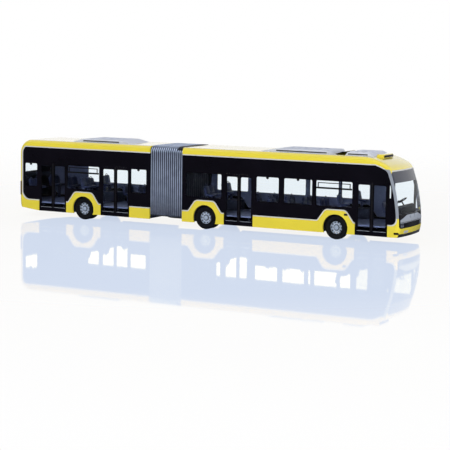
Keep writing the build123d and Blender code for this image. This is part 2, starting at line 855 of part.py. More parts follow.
front_side_right = window_wall(front_wall, front_side_region(front_doors_x, fit_gap, fit_gap),
                               front_windows_right, front_doors_x, -1)
save(front_side_right, "front_side_right")
front_side_left = window_wall(front_wall, front_side_region((), fit_gap, fit_gap), front_windows_left, (), 1)
save(front_side_left, "front_side_left")
save(side_panes(front_windows_right, front_doors_x, -1), "front_panes_right")
save(side_panes(front_windows_left, (), 1), "front_panes_left")
save(doors_of(front_doors_x), "front_doors")

# Windscreen, display above it and pillar strips
mask_form = face_outline(screen_half, mask_low_z, display_top_z, mask_blend, fit_gap)
with BuildSketch() as screen_outline:
    span(-screen_half + fit_gap, screen_half - fit_gap, screen_low_z + fit_gap, display_low_z - fit_gap)
save(face_piece(front_glass, screen_outline.sketch), "windscreen")

with BuildSketch() as display_outline:
    add(mask_form)
    span(-half_width, half_width, low_z, display_low_z, mode=Mode.SUBTRACT)
save(face_piece(front_glass, display_outline.sketch), "display_panel")

save(pillar_strips(pillar_depth - fit_gap, fit_gap), "pillar_trims")

# Black lower front with its grille slats, and the bright panel and headlamps set in it
with BuildSketch() as mask_outline:
    add(mask_form)
    span(-half_width, half_width, screen_low_z, roof_z, mode=Mode.SUBTRACT)
    add(trim_outline(), mode=Mode.SUBTRACT)
    add(lamp_outline(), mode=Mode.SUBTRACT)
with BuildPart() as front_mask:
    add(face_piece(front_face, mask_outline.sketch))
    with BuildSketch(Plane.YZ.offset(nose_x - glass_inset - slat_depth)):
        for slat in range(slat_count):
            slat_z = mask_low_z + slat_pitch * (slat + 1)
            span(-slat_half, slat_half, slat_z - slat_height / 2, slat_z + slat_height / 2)
    extrude(amount=reach, mode=Mode.SUBTRACT)
save(front_mask.part, "front_mask")
save(face_piece(front_skin, trim_outline(fit_gap)), "mask_trim")
save(face_piece(front_face, lamp_outline(fit_gap)), "headlamps")

# Front chassis: plate, wheel boxes, bearings, floor ribs and the lower coupling tongue
front_boxes = ((front_axle_x, single_box_depth), (middle_axle_x, twin_box_depth))
with BuildPart() as front_chassis:
    add(front_form(wall + inside_gap, plate_low_z, front_end_x))
    block(front_end_x, nose_x, -half_width, half_width, plate_low_z, plate_top_z, mode=Mode.INTERSECT)
    for axle_x, depth in front_boxes:
        wheel_box(axle_x, depth)
    for axle_x, depth in front_boxes:
        axle_bearings(axle_x)
    for rib_x in front_ribs:
        block(rib_x - rib_thickness / 2, rib_x + rib_thickness / 2, -rib_half, rib_half,
              plate_top_z, floor_low_z)
    block(pivot_x, front_end_x, -tongue_half_width, tongue_half_width, plate_low_z, plate_top_z)
    with Locations((pivot_x, 0, (plate_low_z + plate_top_z) / 2)):
        Cylinder(tongue_half_width, plate_thickness)
        Cylinder(pin_radius + bearing_gap, plate_thickness, mode=Mode.SUBTRACT)
save(front_chassis.part, "front_chassis")

save(floor_plate(front_form(wall + inside_gap, plate_low_z, front_end_x), front_boxes), "front_floor")
save(seats_at(front_seat_rows), "front_seats")

with BuildPart() as dashboard:
    with BuildSketch(Plane.XZ):
        with BuildLine():
            Polyline((dash_from_x, floor_top_z), (dash_from_x + dash_depth, floor_top_z),
                     (dash_from_x + dash_depth, dash_top_z - dash_slope),
                     (dash_from_x + dash_depth / 2, dash_top_z),
                     (dash_from_x, dash_top_z - dash_slope), (dash_from_x, floor_top_z))
        make_face()
    extrude(amount=dash_half, both=True)
save(dashboard.part, "dashboard")

wheel_axis = (-sin(radians(wheel_tilt)), 0, cos(radians(wheel_tilt)))
column_run = dash_from_x - fit_gap - wheel_x - column_radius * cos(radians(wheel_tilt))
column_length = column_run / sin(radians(wheel_tilt))
with BuildPart(Plane((wheel_x, wheel_y, wheel_z), x_dir=(0, 1, 0), z_dir=wheel_axis)) as steering_wheel:
    Torus(wheel_radius, wheel_rim)
    with Locations((0, 0, -column_length / 2)):
        Cylinder(column_radius, column_length)
    with PolarLocations(wheel_radius / 2, spoke_count):
        Box(wheel_radius, spoke_width, wheel_rim)
save(steering_wheel.part, "steering_wheel")

front_solid = front_form(0)
save(cowl(*battery_cowl_front, front_solid), "front_battery_cowl")
save(cowl(*air_unit_front, front_solid), "front_air_unit")
with BuildPart() as front_strips:
    add(cowl_strips(*battery_cowl_front[:4], fit_gap))
    add(cowl_strips(*air_unit_front[:4], fit_gap))
save(front_strips.part, "front_cowl_strips")

with BuildPart() as roof_inlet:
    inlet_from_x = air_unit_front[1]
    with BuildSketch(Plane.XZ):
        with BuildLine():
            Polyline((inlet_from_x, roof_z - cowl_sink), (inlet_to_x, roof_z - cowl_sink),
                     (inlet_to_x, inlet_low_z), (inlet_from_x, inlet_top_z), close=True)
        make_face()
    extrude(amount=inlet_half, both=True)
    add(front_solid, mode=Mode.SUBTRACT)
    add(cowl(*air_unit_front, front_solid), mode=Mode.SUBTRACT)
save(roof_inlet.part, "roof_inlet")

with BuildPart() as roof_strut:
    with BuildSketch(Plane.XZ):
        with BuildLine():
            Polyline((strut_from_x, roof_z), (strut_from_x + strut_width, roof_z),
                     (strut_to_x, roof_z + strut_height), (strut_to_x - strut_width, roof_z + strut_height),
                     (strut_from_x, roof_z))
        make_face()
    extrude(amount=strut_half, both=True)
save(roof_strut.part, "roof_strut")
save(end_frame(front_end_x, front_end_x + frame_thickness), "front_end_frame")

# Bellows: one ruled skin through ridge and valley hoops, hollow and open below
with BuildPart() as bellows:
    stations = 2 * pleat_count
    length = front_end_x - rear_end_x - bellows_gap
    for station in range(stations + 1):
        ridge = station % 2 * pleat_depth - pleat_depth
        with BuildSketch(Plane.YZ.offset(front_end_x - station * length / stations)):
            with BuildLine():
                half = bellows_half_width + ridge
                top_z = bellows_top_z + ridge
                Polyline((0, bellows_low_z), (half, bellows_low_z), (half, top_z - bellows_corner))
                corner = JernArc((half, top_z - bellows_corner), (0, 1), bellows_corner, 90)
                Line(corner @ 1, (0, top_z))
                mirror(about=Plane.YZ)
            make_face()
    loft(ruled=True)
    inner_half = bellows_half_width - pleat_depth - bellows_wall
    inner_top = bellows_top_z - pleat_depth - bellows_wall
    block(rear_end_x - reach, front_end_x + reach, -inner_half, inner_half, low_z, inner_top,
          mode=Mode.SUBTRACT)
save(bellows.part, "bellows")

# Rear shell: roof and round tail, with the skirts, arch surrounds and bumper as pieces below it
tail_lamp_place = (tail_x - reach, tail_x + tail_lamp_depth, tail_lamp_from_y, tail_lamp_from_z,
                   tail_lamp_to_z)
with BuildPart() as rear_body:
    add(rear_skin)
    for doors, side in ((rear_doors_x, -1), ((), 1)):
        with BuildSketch(Plane.XZ):
            add(rear_side_region(doors))
        extrude(amount=-side * (half_width + reach), mode=Mode.SUBTRACT)
    with BuildSketch(Plane.YZ.offset(tail_x - reach)):
        add(face_outline(rear_glass_half, rear_glass_low_z, rear_glass_top_z, mask_blend))
        add(face_outline(hatch_half, hatch_low_z, hatch_top_z, mask_blend))
    extrude(amount=tail_depth + reach, mode=Mode.SUBTRACT)
    add(corner_lamps(rear_skin, *tail_lamp_place), mode=Mode.SUBTRACT)
    add(edge_lines(rear_layer(0, line_depth), rear_side_region, rear_doors_x), mode=Mode.SUBTRACT)
    arch_cut(rear_axle_x, arch_radius, -half_width - reach, half_width + reach)
    with BuildSketch(Plane.XZ):
        with BuildLine():
            Polyline((tail_x + ramp_length, skirt_z), (tail_x - reach, skirt_z + ramp_rise),
                     (tail_x - reach, low_z), (tail_x + ramp_length, skirt_z))
        make_face()
    extrude(amount=half_width + reach, both=True, mode=Mode.SUBTRACT)
save(shell_part(rear_body.part, rear_axles, Mode.SUBTRACT), "rear_shell")
save(shell_part(rear_body.part, rear_axles, Mode.INTERSECT), "rear_skirts")
line_layer = rear_layer(0, line_depth - fit_gap)
save(edge_lines(line_layer, rear_side_region, rear_doors_x, fit_gap), "rear_lines")

rear_side_right = window_wall(rear_wall, rear_side_region(rear_doors_x, fit_gap, fit_gap),
                              rear_windows_right, rear_doors_x, -1)
save(rear_side_right, "rear_side_right")
rear_side_left = window_wall(rear_wall, rear_side_region((), fit_gap, fit_gap), rear_windows_left, (), 1)
save(rear_side_left, "rear_side_left")
save(side_panes(rear_windows_right, rear_doors_x, -1), "rear_panes_right")
save(side_panes(rear_windows_left, (), 1), "rear_panes_left")
save(doors_of(rear_doors_x), "rear_doors")

with BuildPart() as rear_window:
    add(rear_glass)
    with BuildSketch(Plane.YZ.offset(tail_x - reach)):
        add(face_outline(rear_glass_half, rear_glass_low_z, rear_glass_top_z, mask_blend, fit_gap))
    extrude(amount=tail_depth + reach, mode=Mode.INTERSECT)
save(rear_window.part, "rear_window")

with BuildPart() as rear_hatch:
    add(rear_face)
    with BuildSketch(Plane.YZ.offset(tail_x - reach)):
        add(face_outline(hatch_half, hatch_low_z, hatch_top_z, mask_blend, fit_gap))
    extrude(amount=tail_depth + reach, mode=Mode.INTERSECT)
    with BuildSketch(Plane.YZ.offset(tail_x - reach)):
        for louvre in range(louvre_count):
            louvre_z = hatch_top_z - louvre_pitch * (louvre + 1)
            span(-louvre_half, louvre_half, louvre_z - slat_height / 2, louvre_z + slat_height / 2)
    extrude(amount=reach + glass_inset + louvre_depth, mode=Mode.SUBTRACT)
save(rear_hatch.part, "rear_hatch")

save(corner_lamps(rear_layer(-tail_lamp_proud, wall), *tail_lamp_place, fit_gap), "tail_lamps")

# Rear chassis: plate, wheel boxes, bearings, floor ribs and the upper coupling tongue with its pin
rear_boxes = ((rear_axle_x, twin_box_depth),)
tongue_low_z = plate_top_z + tongue_gap
tongue_top_z = tongue_low_z + plate_thickness
with BuildPart() as rear_chassis:
    add(rear_form(wall + inside_gap, plate_low_z, rear_end_x))
    block(tail_x, rear_end_x, -half_width, half_width, plate_low_z, plate_top_z, mode=Mode.INTERSECT)
    with BuildSketch(Plane.XZ):
        with BuildLine():
            Polyline((tail_x + ramp_length, low_z), (tail_x + ramp_length, skirt_z),
                     (tail_x - reach, skirt_z + ramp_rise), (tail_x - reach, low_z),
                     (tail_x + ramp_length, low_z))
        make_face()
    extrude(amount=half_width + reach, both=True, mode=Mode.SUBTRACT)
    for axle_x, depth in rear_boxes:
        wheel_box(axle_x, depth)
    for axle_x, depth in rear_boxes:
        axle_bearings(axle_x)
    for rib_x in rear_ribs:
        block(rib_x - rib_thickness / 2, rib_x + rib_thickness / 2, -rib_half, rib_half,
              plate_top_z, floor_low_z)
    block(rear_end_x - tongue_root, rear_end_x, -pin_tongue_half, pin_tongue_half, plate_top_z, tongue_top_z)
    block(rear_end_x, pivot_x, -pin_tongue_half, pin_tongue_half, tongue_low_z, tongue_top_z)
    with Locations((pivot_x, 0, (tongue_low_z + tongue_top_z) / 2)):
        Cylinder(pin_tongue_half, plate_thickness)
    with Locations((pivot_x, 0, (plate_low_z + tongue_low_z) / 2)):
        Cylinder(pin_radius, tongue_low_z - plate_low_z)
save(rear_chassis.part, "rear_chassis")

save(floor_plate(rear_form(wall + inside_gap, plate_low_z, rear_end_x), rear_boxes), "rear_floor")
save(seats_at(rear_seat_rows), "rear_seats")
save(cowl(*battery_cowl_rear, rear_form(0)), "rear_battery_cowl")
save(cowl_strips(*battery_cowl_rear[:4], fit_gap), "rear_cowl_strips")
save(end_frame(rear_end_x - frame_thickness, rear_end_x), "rear_end_frame")

# Wheel sets: name, axle x, twin wheels
for name, axle_x, twin in (("front", front_axle_x, False), ("middle", middle_axle_x, True),
                           ("rear", rear_axle_x, True)):
    save(axle_of(axle_x), f"{name}_axle")
    save(rims_of(axle_x, twin), f"{name}_rims")
    save(tyres_of(axle_x, twin), f"{name}_tyres")
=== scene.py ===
"""Finishes, trim and stage for a scale model of an articulated city bus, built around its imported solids."""

import json
import math

import bmesh
import bpy
from mathutils import Matrix, Vector


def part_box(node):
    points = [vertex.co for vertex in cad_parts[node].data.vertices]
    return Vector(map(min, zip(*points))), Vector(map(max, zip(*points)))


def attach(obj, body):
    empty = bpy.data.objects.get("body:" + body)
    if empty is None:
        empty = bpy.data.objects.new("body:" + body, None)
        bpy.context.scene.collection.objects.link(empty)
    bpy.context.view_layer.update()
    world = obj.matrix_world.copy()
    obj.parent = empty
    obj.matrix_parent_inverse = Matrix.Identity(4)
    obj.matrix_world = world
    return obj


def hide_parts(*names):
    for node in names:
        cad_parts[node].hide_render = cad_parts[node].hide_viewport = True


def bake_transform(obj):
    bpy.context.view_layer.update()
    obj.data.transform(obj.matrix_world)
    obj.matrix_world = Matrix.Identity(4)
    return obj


bl_info = {
    "name": "Articulated City Bus Model",
    "version": (1, 0, 0),
    "blender": (4, 5, 0),
    "location": "View3D > Sidebar > Bus",
    "description": "Dresses the solids of an articulated city bus model",
    "category": "Object",
}

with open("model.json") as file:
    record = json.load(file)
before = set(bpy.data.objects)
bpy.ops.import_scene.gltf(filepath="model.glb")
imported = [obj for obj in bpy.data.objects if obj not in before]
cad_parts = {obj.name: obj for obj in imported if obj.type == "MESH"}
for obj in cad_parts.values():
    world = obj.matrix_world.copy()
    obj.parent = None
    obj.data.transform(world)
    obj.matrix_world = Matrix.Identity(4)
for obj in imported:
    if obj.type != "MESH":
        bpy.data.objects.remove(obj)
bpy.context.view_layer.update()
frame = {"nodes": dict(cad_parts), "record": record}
nodes = frame["nodes"]

MM = 0.001
MERGE = 0.001 * MM
SMOOTH_ANGLE = math.radians(35)

# Places and sizes are in millimetres: x runs to the front, y to the left and z up
# Inside of the cabin, where inner faces are painted as its shade, and lighter as its light on black walls;
# the nose curves back by y squared over its plan, and by rise squared over its rake
INNER_HALF, INNER_TOP = 13.77, 37.75
CABIN_FRONT, CABIN_REAR = 103.7, -103.72
LEVEL_ROOF = (-97.0, 88.0)
NOSE_FOOT, NOSE_TOP, NOSE_PLAN, NOSE_RAKE = 8.0, 32.0, 180.0, 136.0
TAIL_TOP, TAIL_PLAN = 31.5, 190.0

# Windscreen posts, painted dark inside as shade, and the marker printed on the front wheel arches
POST_FROM, POST_HALF, POST_Z = 97.0, 14.2, (14.4, 31.5)
MARKER_FROM, MARKER_X, MARKER_Z = 14.0, (76.2, 78.0), (11.35, 12.35)

# Wheels; a turned form is given as (radius, height) steps
TYRES_A_SIDE = {"front": 1, "middle": 2, "rear": 2}
TYRE_WIDTH, TWIN_PITCH, TYRE_SIDES = 3.1, 3.6, 64
TYRE_WALL = (
    (3.42, 0.42), (3.56, 0.16), (3.76, 0.05), (4.05, 0.0), (4.12, 0.06), (4.42, 0.05), (4.50, 0.0),
    (4.78, 0.05), (5.10, 0.20), (5.32, 0.40), (5.45, 0.62),
)
TYRE_TREAD = (
    (5.49, 0.78), (5.49, 0.98), (5.36, 1.00), (5.36, 1.14), (5.49, 1.16), (5.49, 1.45), (5.36, 1.47),
)
LUG_FROM, LUG_TO, LUG_RADIUS, LUG_DEPTH = 0.62, 0.98, 5.4, 0.09
WALL_RINGS = 0.42
# Past this radius and behind this depth the rim is painted dark as shade, and the ring round the hub is
# painted shade too
RIM_EDGE, RIM_DEPTH, RIM_SHADE_RING = 2.98, 12.62, (1.04, 1.50)
HUB = ((1.02, 0.0), (1.02, 0.14), (0.94, 0.24), (0.66, 0.28), (0.58, 0.38), (0.50, 0.43), (0.2, 0.45))
NUT = ((0.19, -0.02), (0.19, 0.17), (0.15, 0.21), (0.09, 0.21), (0.08, 0.29), (0.04, 0.31))
HUB_INSET, NUT_INSET, NUT_CIRCLE, NUTS = 0.75, 1.10, 1.72, 10

# Seats: what a row stands on, with the height of its cushion above that, and its places across the cabin
BOX_TOP, FLOOR_TOP = 12.6, 7.6
ON_BOX, ON_FLOOR, ON_STEP = (BOX_TOP, 4.1), (FLOOR_TOP, 4.9), (FLOOR_TOP, 7.1)
DOUBLE, SINGLE, DRIVER = (11.2, 6.6), (11.2,), (8.0,)
SEAT_ROWS = {
    "front": (
        (3.4, 1, ON_BOX, DOUBLE), (3.4, -1, ON_BOX, DOUBLE), (20.0, 1, ON_FLOOR, DOUBLE),
        (29.0, 1, ON_FLOOR, DOUBLE), (38.0, 1, ON_FLOOR, DOUBLE), (47.0, 1, ON_FLOOR, DOUBLE),
        (56.0, 1, ON_FLOOR, DOUBLE), (37.0, -1, ON_FLOOR, DOUBLE), (46.0, -1, ON_FLOOR, DOUBLE),
        (55.0, -1, ON_FLOOR, DOUBLE), (72.5, 1, ON_BOX, SINGLE), (72.5, -1, ON_BOX, SINGLE),
        (87.0, 1, ON_FLOOR, DRIVER),
    ),
    "rear": (
        (-35.0, 1, ON_FLOOR, DOUBLE), (-44.0, 1, ON_FLOOR, DOUBLE), (-53.0, 1, ON_FLOOR, DOUBLE),
        (-67.0, 1, ON_BOX, DOUBLE), (-67.0, -1, ON_BOX, DOUBLE), (-76.6, 1, ON_STEP, DOUBLE),
        (-87.0, 1, ON_STEP, DOUBLE), (-98.0, 1, ON_STEP, DOUBLE), (-98.0, -1, ON_STEP, DOUBLE),
    ),
}
SEAT_HALF, SEAT_TOP, SEAT_ROUND = 2.2, 3.8, 1.0
LOOP_RADIUS, LOOP_WIRE, LOOP_CUT = 0.85, 0.15, -0.2
LEG_BELOW_TOP = 0.8
PICK_MARGIN = 0.1

# Doors and windows, with the faces of their trim on the near side
DOORS = {"front": ((14.5, 29.9), (81.6, 97.4)), "rear": ((-91.2, -74.8), (-54.5, -37.8))}
SEAL_HALF, SEAL_Y, SEAL_Z = 0.36, (-14.34, -14.20), (4.6, 27.2)
SILL_END, SILL_GAP, SILL_Y, SILL_Z = 0.9, 0.8, (-14.33, -14.22), (4.98, 5.16)
VENTS = {"front": (61.9, 80.0), "rear": (-74.3, -55.5)}
VENT_END, VENT_INSET, VENT_POST, VENT_Y = 0.15, 0.9, 1.4, (-14.46, -14.32)
VENT_RAIL_Z, VENT_POST_Z, VENT_HEAD_Z = (23.05, 23.85), (23.5, 25.9), (25.58, 25.96)
CATCHES = {"front": (37.15, 52.8), "rear": (-32.85, -96.3)}
CATCH_HALF, CATCH_Y, CATCH_Z = 0.7, (-14.46, -14.30), (26.1, 26.9)
KNOB_HALF, KNOB_Y, KNOB_Z = 0.3, (-14.52, -14.32), (25.85, 26.4)

# Headlamp reflectors, and how far out a strip starts before it is laid on the nose or tail
CUP = ((0.60, -0.05), (0.60, 0.08), (0.55, 0.12), (0.48, 0.07), (0.32, 0.03), (0.10, 0.02))
CUPS_Y, CUPS_Z, LAMP_FRONT = (-12.15, -10.7, 10.7, 12.15), 8.25, 104.07
STRIP_FROM = 106.0

# Bellows: shares of a pleat, the depth and least tone of its top painted pale as light from above, and where
# the top is painted dark as shade
PLEAT_SLOPE, PLEAT_CREST = 0.36, 0.28
LIT_TOP, LIT_TOP_TONE = 0.3, 0.80
SHADED_TOP, SHADED_TOP_FROM = 1.0, -11.3

DARK = (0.006, 0.006, 0.008)
SEAL_BLACK = (0.004, 0.004, 0.005)
# Lighter blue-grey painted on the inner faces of the black walls as light in the cabin
CABIN_PAINTED_LIGHT = (0.085, 0.10, 0.17)
WHITE = (1.0, 1.0, 1.0)

# Lamps, in metres: name, place, aim, size and share of the base power
LAMPS = (
    ("soft_box", (-0.05, -0.35, 0.75), (0.0, 0.0, 0.02), 0.9, 0.12),
    ("side_fill", (0.12, -0.72, 0.10), (-0.05, 0.0, 0.02), 0.5, 1.65),
    ("back_fill", (-0.50, 0.60, 0.42), (0.0, 0.0, 0.02), 0.7, 0.7),
    ("low_fill", (0.62, -0.30, 0.07), (0.06, 0.0, 0.01), 0.12, 0.8),
)
FLOOR_SIZE = 2.4

# The room as gloss sees it brightens over this range of y plus a share of z; the sky loses a share overhead
ROOM_EDGE, ROOM_LIFT, SKY_LOSS = (-0.15, 0.55), 1.1, 0.60


class BusPaint(bpy.types.PropertyGroup):
    """Colours of the model."""

    yellow: bpy.props.FloatVectorProperty(
        name="Yellow", description="Shell, skirts and bumpers", subtype="COLOR", size=3,
        default=(0.80, 0.66, 0.045))
    black: bpy.props.FloatVectorProperty(
        name="Black", description="Window walls, doors and mask", subtype="COLOR", size=3,
        default=(0.0035, 0.003, 0.0055))
    silver: bpy.props.FloatVectorProperty(
        name="Silver", description="Pillar strips, front panel and trim", subtype="COLOR", size=3,
        default=(0.39, 0.43, 0.50))
    cowl: bpy.props.FloatVectorProperty(
        name="Cowls", description="Roof units", subtype="COLOR", size=3, default=(0.62, 0.66, 0.79))
    # Bellows colours: ridges painted pale as highlight, valleys painted dark as shade
    fold_highlight: bpy.props.FloatVectorProperty(
        name="Fold ridge", description="Bellows at the ridges", subtype="COLOR", size=3,
        default=(0.56, 0.66, 0.88))
    fold_shade: bpy.props.FloatVectorProperty(
        name="Fold valley", description="Bellows in the valleys", subtype="COLOR", size=3,
        default=(0.010, 0.014, 0.030))
    seat: bpy.props.FloatVectorProperty(
        name="Seats", description="Moulded seats", subtype="COLOR", size=3, default=(0.020, 0.026, 0.062))
    glass: bpy.props.FloatVectorProperty(
        name="Glazing", description="Tint of the windows", subtype="COLOR", size=3,
        default=(0.93, 0.972, 1.0))


class BusSizes(bpy.types.PropertyGroup):
    """Sizes of the pieces added here."""

    pleats: bpy.props.IntProperty(name="Pleats", description="Folds of the bellows", default=16, min=4)
    fold_depth: bpy.props.FloatProperty(
        name="Fold depth", description="From ridge to valley", default=0.75 * MM, unit="LENGTH",
        precision=5)
    skin: bpy.props.FloatProperty(
        name="Bellows skin", description="Thickness of the bellows skin", default=0.35 * MM, unit="LENGTH",
        precision=5)
    corner: bpy.props.FloatProperty(
        name="Bellows corner", description="Round of the bellows' upper corners", default=3.0 * MM,
        unit="LENGTH", precision=5)


class BusStage(bpy.types.PropertyGroup):
    """Camera, floor and light."""

    lens: bpy.props.FloatProperty(name="Lens", description="Focal length on a 36 mm frame", default=119.05)
    azimuth: bpy.props.FloatProperty(
        name="Azimuth", description="Camera round the bus", default=math.radians(27.6769), subtype="ANGLE")
    elevation: bpy.props.FloatProperty(
        name="Elevation", description="Camera above the floor", default=math.radians(6.8241),
        subtype="ANGLE")
    roll: bpy.props.FloatProperty(
        name="Roll", description="Turn of the picture", default=math.radians(0.8618), subtype="ANGLE")
    camera_place: bpy.props.FloatVectorProperty(
        name="Camera place", description="Where the camera stands", subtype="XYZ", size=3, unit="LENGTH",
        default=(0.3405423, -0.6346894, 0.0866989))
    sky: bpy.props.FloatProperty(name="Sky light", description="Level of the even light", default=0.80)
    key: bpy.props.FloatProperty(
        name="Lamps", description="Base power, of which each lamp has its share", default=1.6, unit="POWER")
    room: bpy.props.FloatProperty(
        name="Room", description="Brightness of the room in front, as gloss sees it", default=0.10,
        subtype="FACTOR")
    floor_glow: bpy.props.FloatProperty(
        name="Floor glow", description="Share of the floor that shows its own colour", default=0.86,
        subtype="FACTOR")
    floor_dim: bpy.props.FloatVectorProperty(
        name="Floor in gloss", description="The floor as glossy pieces see it", subtype="COLOR", size=3,
        default=(0.16, 0.17, 0.20))
    floor_mirror: bpy.props.FloatVectorProperty(
        name="Floor mirror", description="What the floor mirrors", subtype="COLOR", size=3,
        default=(0.33, 0.25, 0.10))
    floor_near: bpy.props.FloatProperty(
        name="Floor near", description="Where the floor starts to fade into the backdrop", default=0.20,
        unit="LENGTH")
    floor_far: bpy.props.FloatProperty(
        name="Floor far", description="Where the floor has faded", default=0.55, unit="LENGTH")


def start_piece():
    """Leaves nothing selected and Blender in object mode."""
    if bpy.context.object and bpy.context.object.mode != "OBJECT":
        bpy.ops.object.mode_set(mode="OBJECT")
    bpy.ops.object.select_all(action="DESELECT")


def settle(piece, name):
    """Puts a new piece's place into its mesh and names it."""
    bpy.ops.object.transform_apply(location=True, rotation=True, scale=True)
    piece.name = name
    piece.data.name = name
    return piece


def pick(kind, test):
    """Selects in edit mode the vertices, edges or faces whose middle passes a test."""
    bpy.ops.mesh.select_mode(type=kind)
    bpy.ops.mesh.select_all(action="DESELECT")
    mesh = bmesh.from_edit_mesh(bpy.context.object.data)
    items = {"VERT": mesh.verts, "EDGE": mesh.edges, "FACE": mesh.faces}[kind]
    for item in items:
        middle = item.co if kind == "VERT" else sum((v.co for v in item.verts), Vector()) / len(item.verts)
        if test(middle):
            item.select_set(True)
    mesh.select_flush_mode()
    bmesh.update_edit_mesh(bpy.context.object.data)


def apply_modifiers(piece):
    for modifier in list(piece.modifiers):
        bpy.ops.object.modifier_apply(modifier=modifier.name)


def dress(piece, material):
    """Gives a piece its finish."""
    piece.data.materials.clear()
    piece.data.materials.append(material)


def block(name, x, y, z):
    """A plain block between two planes on each axis, in millimetres, to be shaped further."""
    start_piece()
    bpy.ops.mesh.primitive_cube_add(size=1.0, location=[(a + b) / 2 * MM for a, b in (x, y, z)])
    piece = bpy.context.object
    piece.scale = [(b - a) * MM for a, b in (x, y, z)]
    return settle(piece, name)


def bar(name, x, y, z, ease, segments=2):
    """A block with eased edges."""
    piece = block(name, x, y, z)
    bpy.ops.object.mode_set(mode="EDIT")
    bpy.ops.mesh.select_all(action="SELECT")
    bpy.ops.mesh.bevel(offset=ease * MM, segments=segments, affect="EDGES")
    bpy.ops.object.mode_set(mode="OBJECT")
    return piece


def turned(name, profile, sides=32, ring=False):
    """A form turned about Z from (radius, height) steps in millimetres; a ring ends where it starts."""
    start_piece()
    radius, height = profile[0]
    bpy.ops.mesh.primitive_circle_add(vertices=sides, radius=radius * MM, location=(0, 0, height * MM))
    piece = settle(bpy.context.object, name)
    bpy.ops.object.mode_set(mode="EDIT")
    bpy.ops.mesh.select_mode(type="EDGE")
    bpy.ops.mesh.select_all(action="SELECT")
    for next_radius, next_height in profile[1:] + (profile[:1] if ring else ()):
        step = (0, 0, (next_height - height) * MM)
        bpy.ops.mesh.extrude_region_move(TRANSFORM_OT_translate={"value": step})
        factor = next_radius / radius
        bpy.ops.transform.resize(value=(factor, factor, 1.0), center_override=(0, 0, next_height * MM))
        radius, height = next_radius, next_height
    bpy.ops.mesh.select_all(action="SELECT")
    if ring:
        bpy.ops.mesh.remove_doubles(threshold=MERGE)
    else:
        bpy.ops.mesh.fill_holes(sides=0)
    bpy.ops.mesh.normals_make_consistent(inside=False)
    bpy.ops.object.mode_set(mode="OBJECT")
    return piece


def copied(piece, move):
    """A copy of a piece, with its own mesh, in another place."""
    other = bpy.data.objects.new(piece.name, piece.data.copy())
    other.data.transform(move)
    bpy.context.scene.collection.objects.link(other)
    return other


def joined(name, pieces):
    """One object made of several pieces."""
    start_piece()
    for piece in pieces:
        piece.select_set(True)
    bpy.context.view_layer.objects.active = pieces[0]
    bpy.ops.object.join()
    return settle(pieces[0], name)


def discard(*pieces):
    for piece in pieces:
        bpy.data.objects.remove(piece)


def fitted(piece, material, slot, body, *stands_for):
    """Smooths, paints and hangs a finished piece on its body."""
    start_piece()
    piece.select_set(True)
    bpy.context.view_layer.objects.active = piece
    bpy.ops.object.shade_smooth_by_angle(angle=SMOOTH_ANGLE)
    dress(piece, bpy.data.materials[material])
    if stands_for:
        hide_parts(*stands_for)
    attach(piece, body)


def shift(x, y, z):
    return Matrix.Translation(Vector((x, y, z)) * MM)


def wheel_set(name):
    """The x and z of a wheel set's axle and the y of its outer face, in millimetres."""
    low, high = (tuple(c / MM for c in corner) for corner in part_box(f"{name}_tyres"))
    return (low[0] + high[0]) / 2, (low[2] + high[2]) / 2, high[1]


def axle_place(x, y, z, side):
    """Lays a turned form on an axle, its height running from y away from side (1 left, -1 right)."""
    turn = Matrix(((1, 0, 0, 0), (0, 0, -side, 0), (0, side, 0, 0), (0, 0, 0, 1)))
    return shift(x, y, z) @ turn


def wrapped(name, node, end, y, z, width, height, thickness):
    """A thin strip laid from outside on a solid's nose (end 1) or tail (end -1)."""
    start_piece()
    bpy.ops.mesh.primitive_grid_add(
        x_subdivisions=2, y_subdivisions=36, size=1.0, rotation=(0, math.pi / 2, 0),
        location=(end * STRIP_FROM * MM, y * MM, z * MM))
    piece = bpy.context.object
    piece.scale = (height * MM, width * MM, 1.0)
    settle(piece, name)
    wrap = piece.modifiers.new("Lay", "SHRINKWRAP")
    wrap.target = nodes[node]
    wrap.wrap_method = "PROJECT"
    wrap.use_project_x = True
    wrap.use_negative_direction = end > 0
    wrap.use_positive_direction = end < 0
    skin = piece.modifiers.new("Skin", "SOLIDIFY")
    skin.thickness = thickness * MM
    skin.offset = 0.0
    ease = piece.modifiers.new("Ease", "BEVEL")
    ease.width = thickness * 0.3 * MM
    ease.segments = 2
    apply_modifiers(piece)
    bpy.ops.object.mode_set(mode="EDIT")
    bpy.ops.mesh.select_all(action="SELECT")
    bpy.ops.mesh.normals_make_consistent(inside=False)
    bpy.ops.object.mode_set(mode="OBJECT")
    return piece


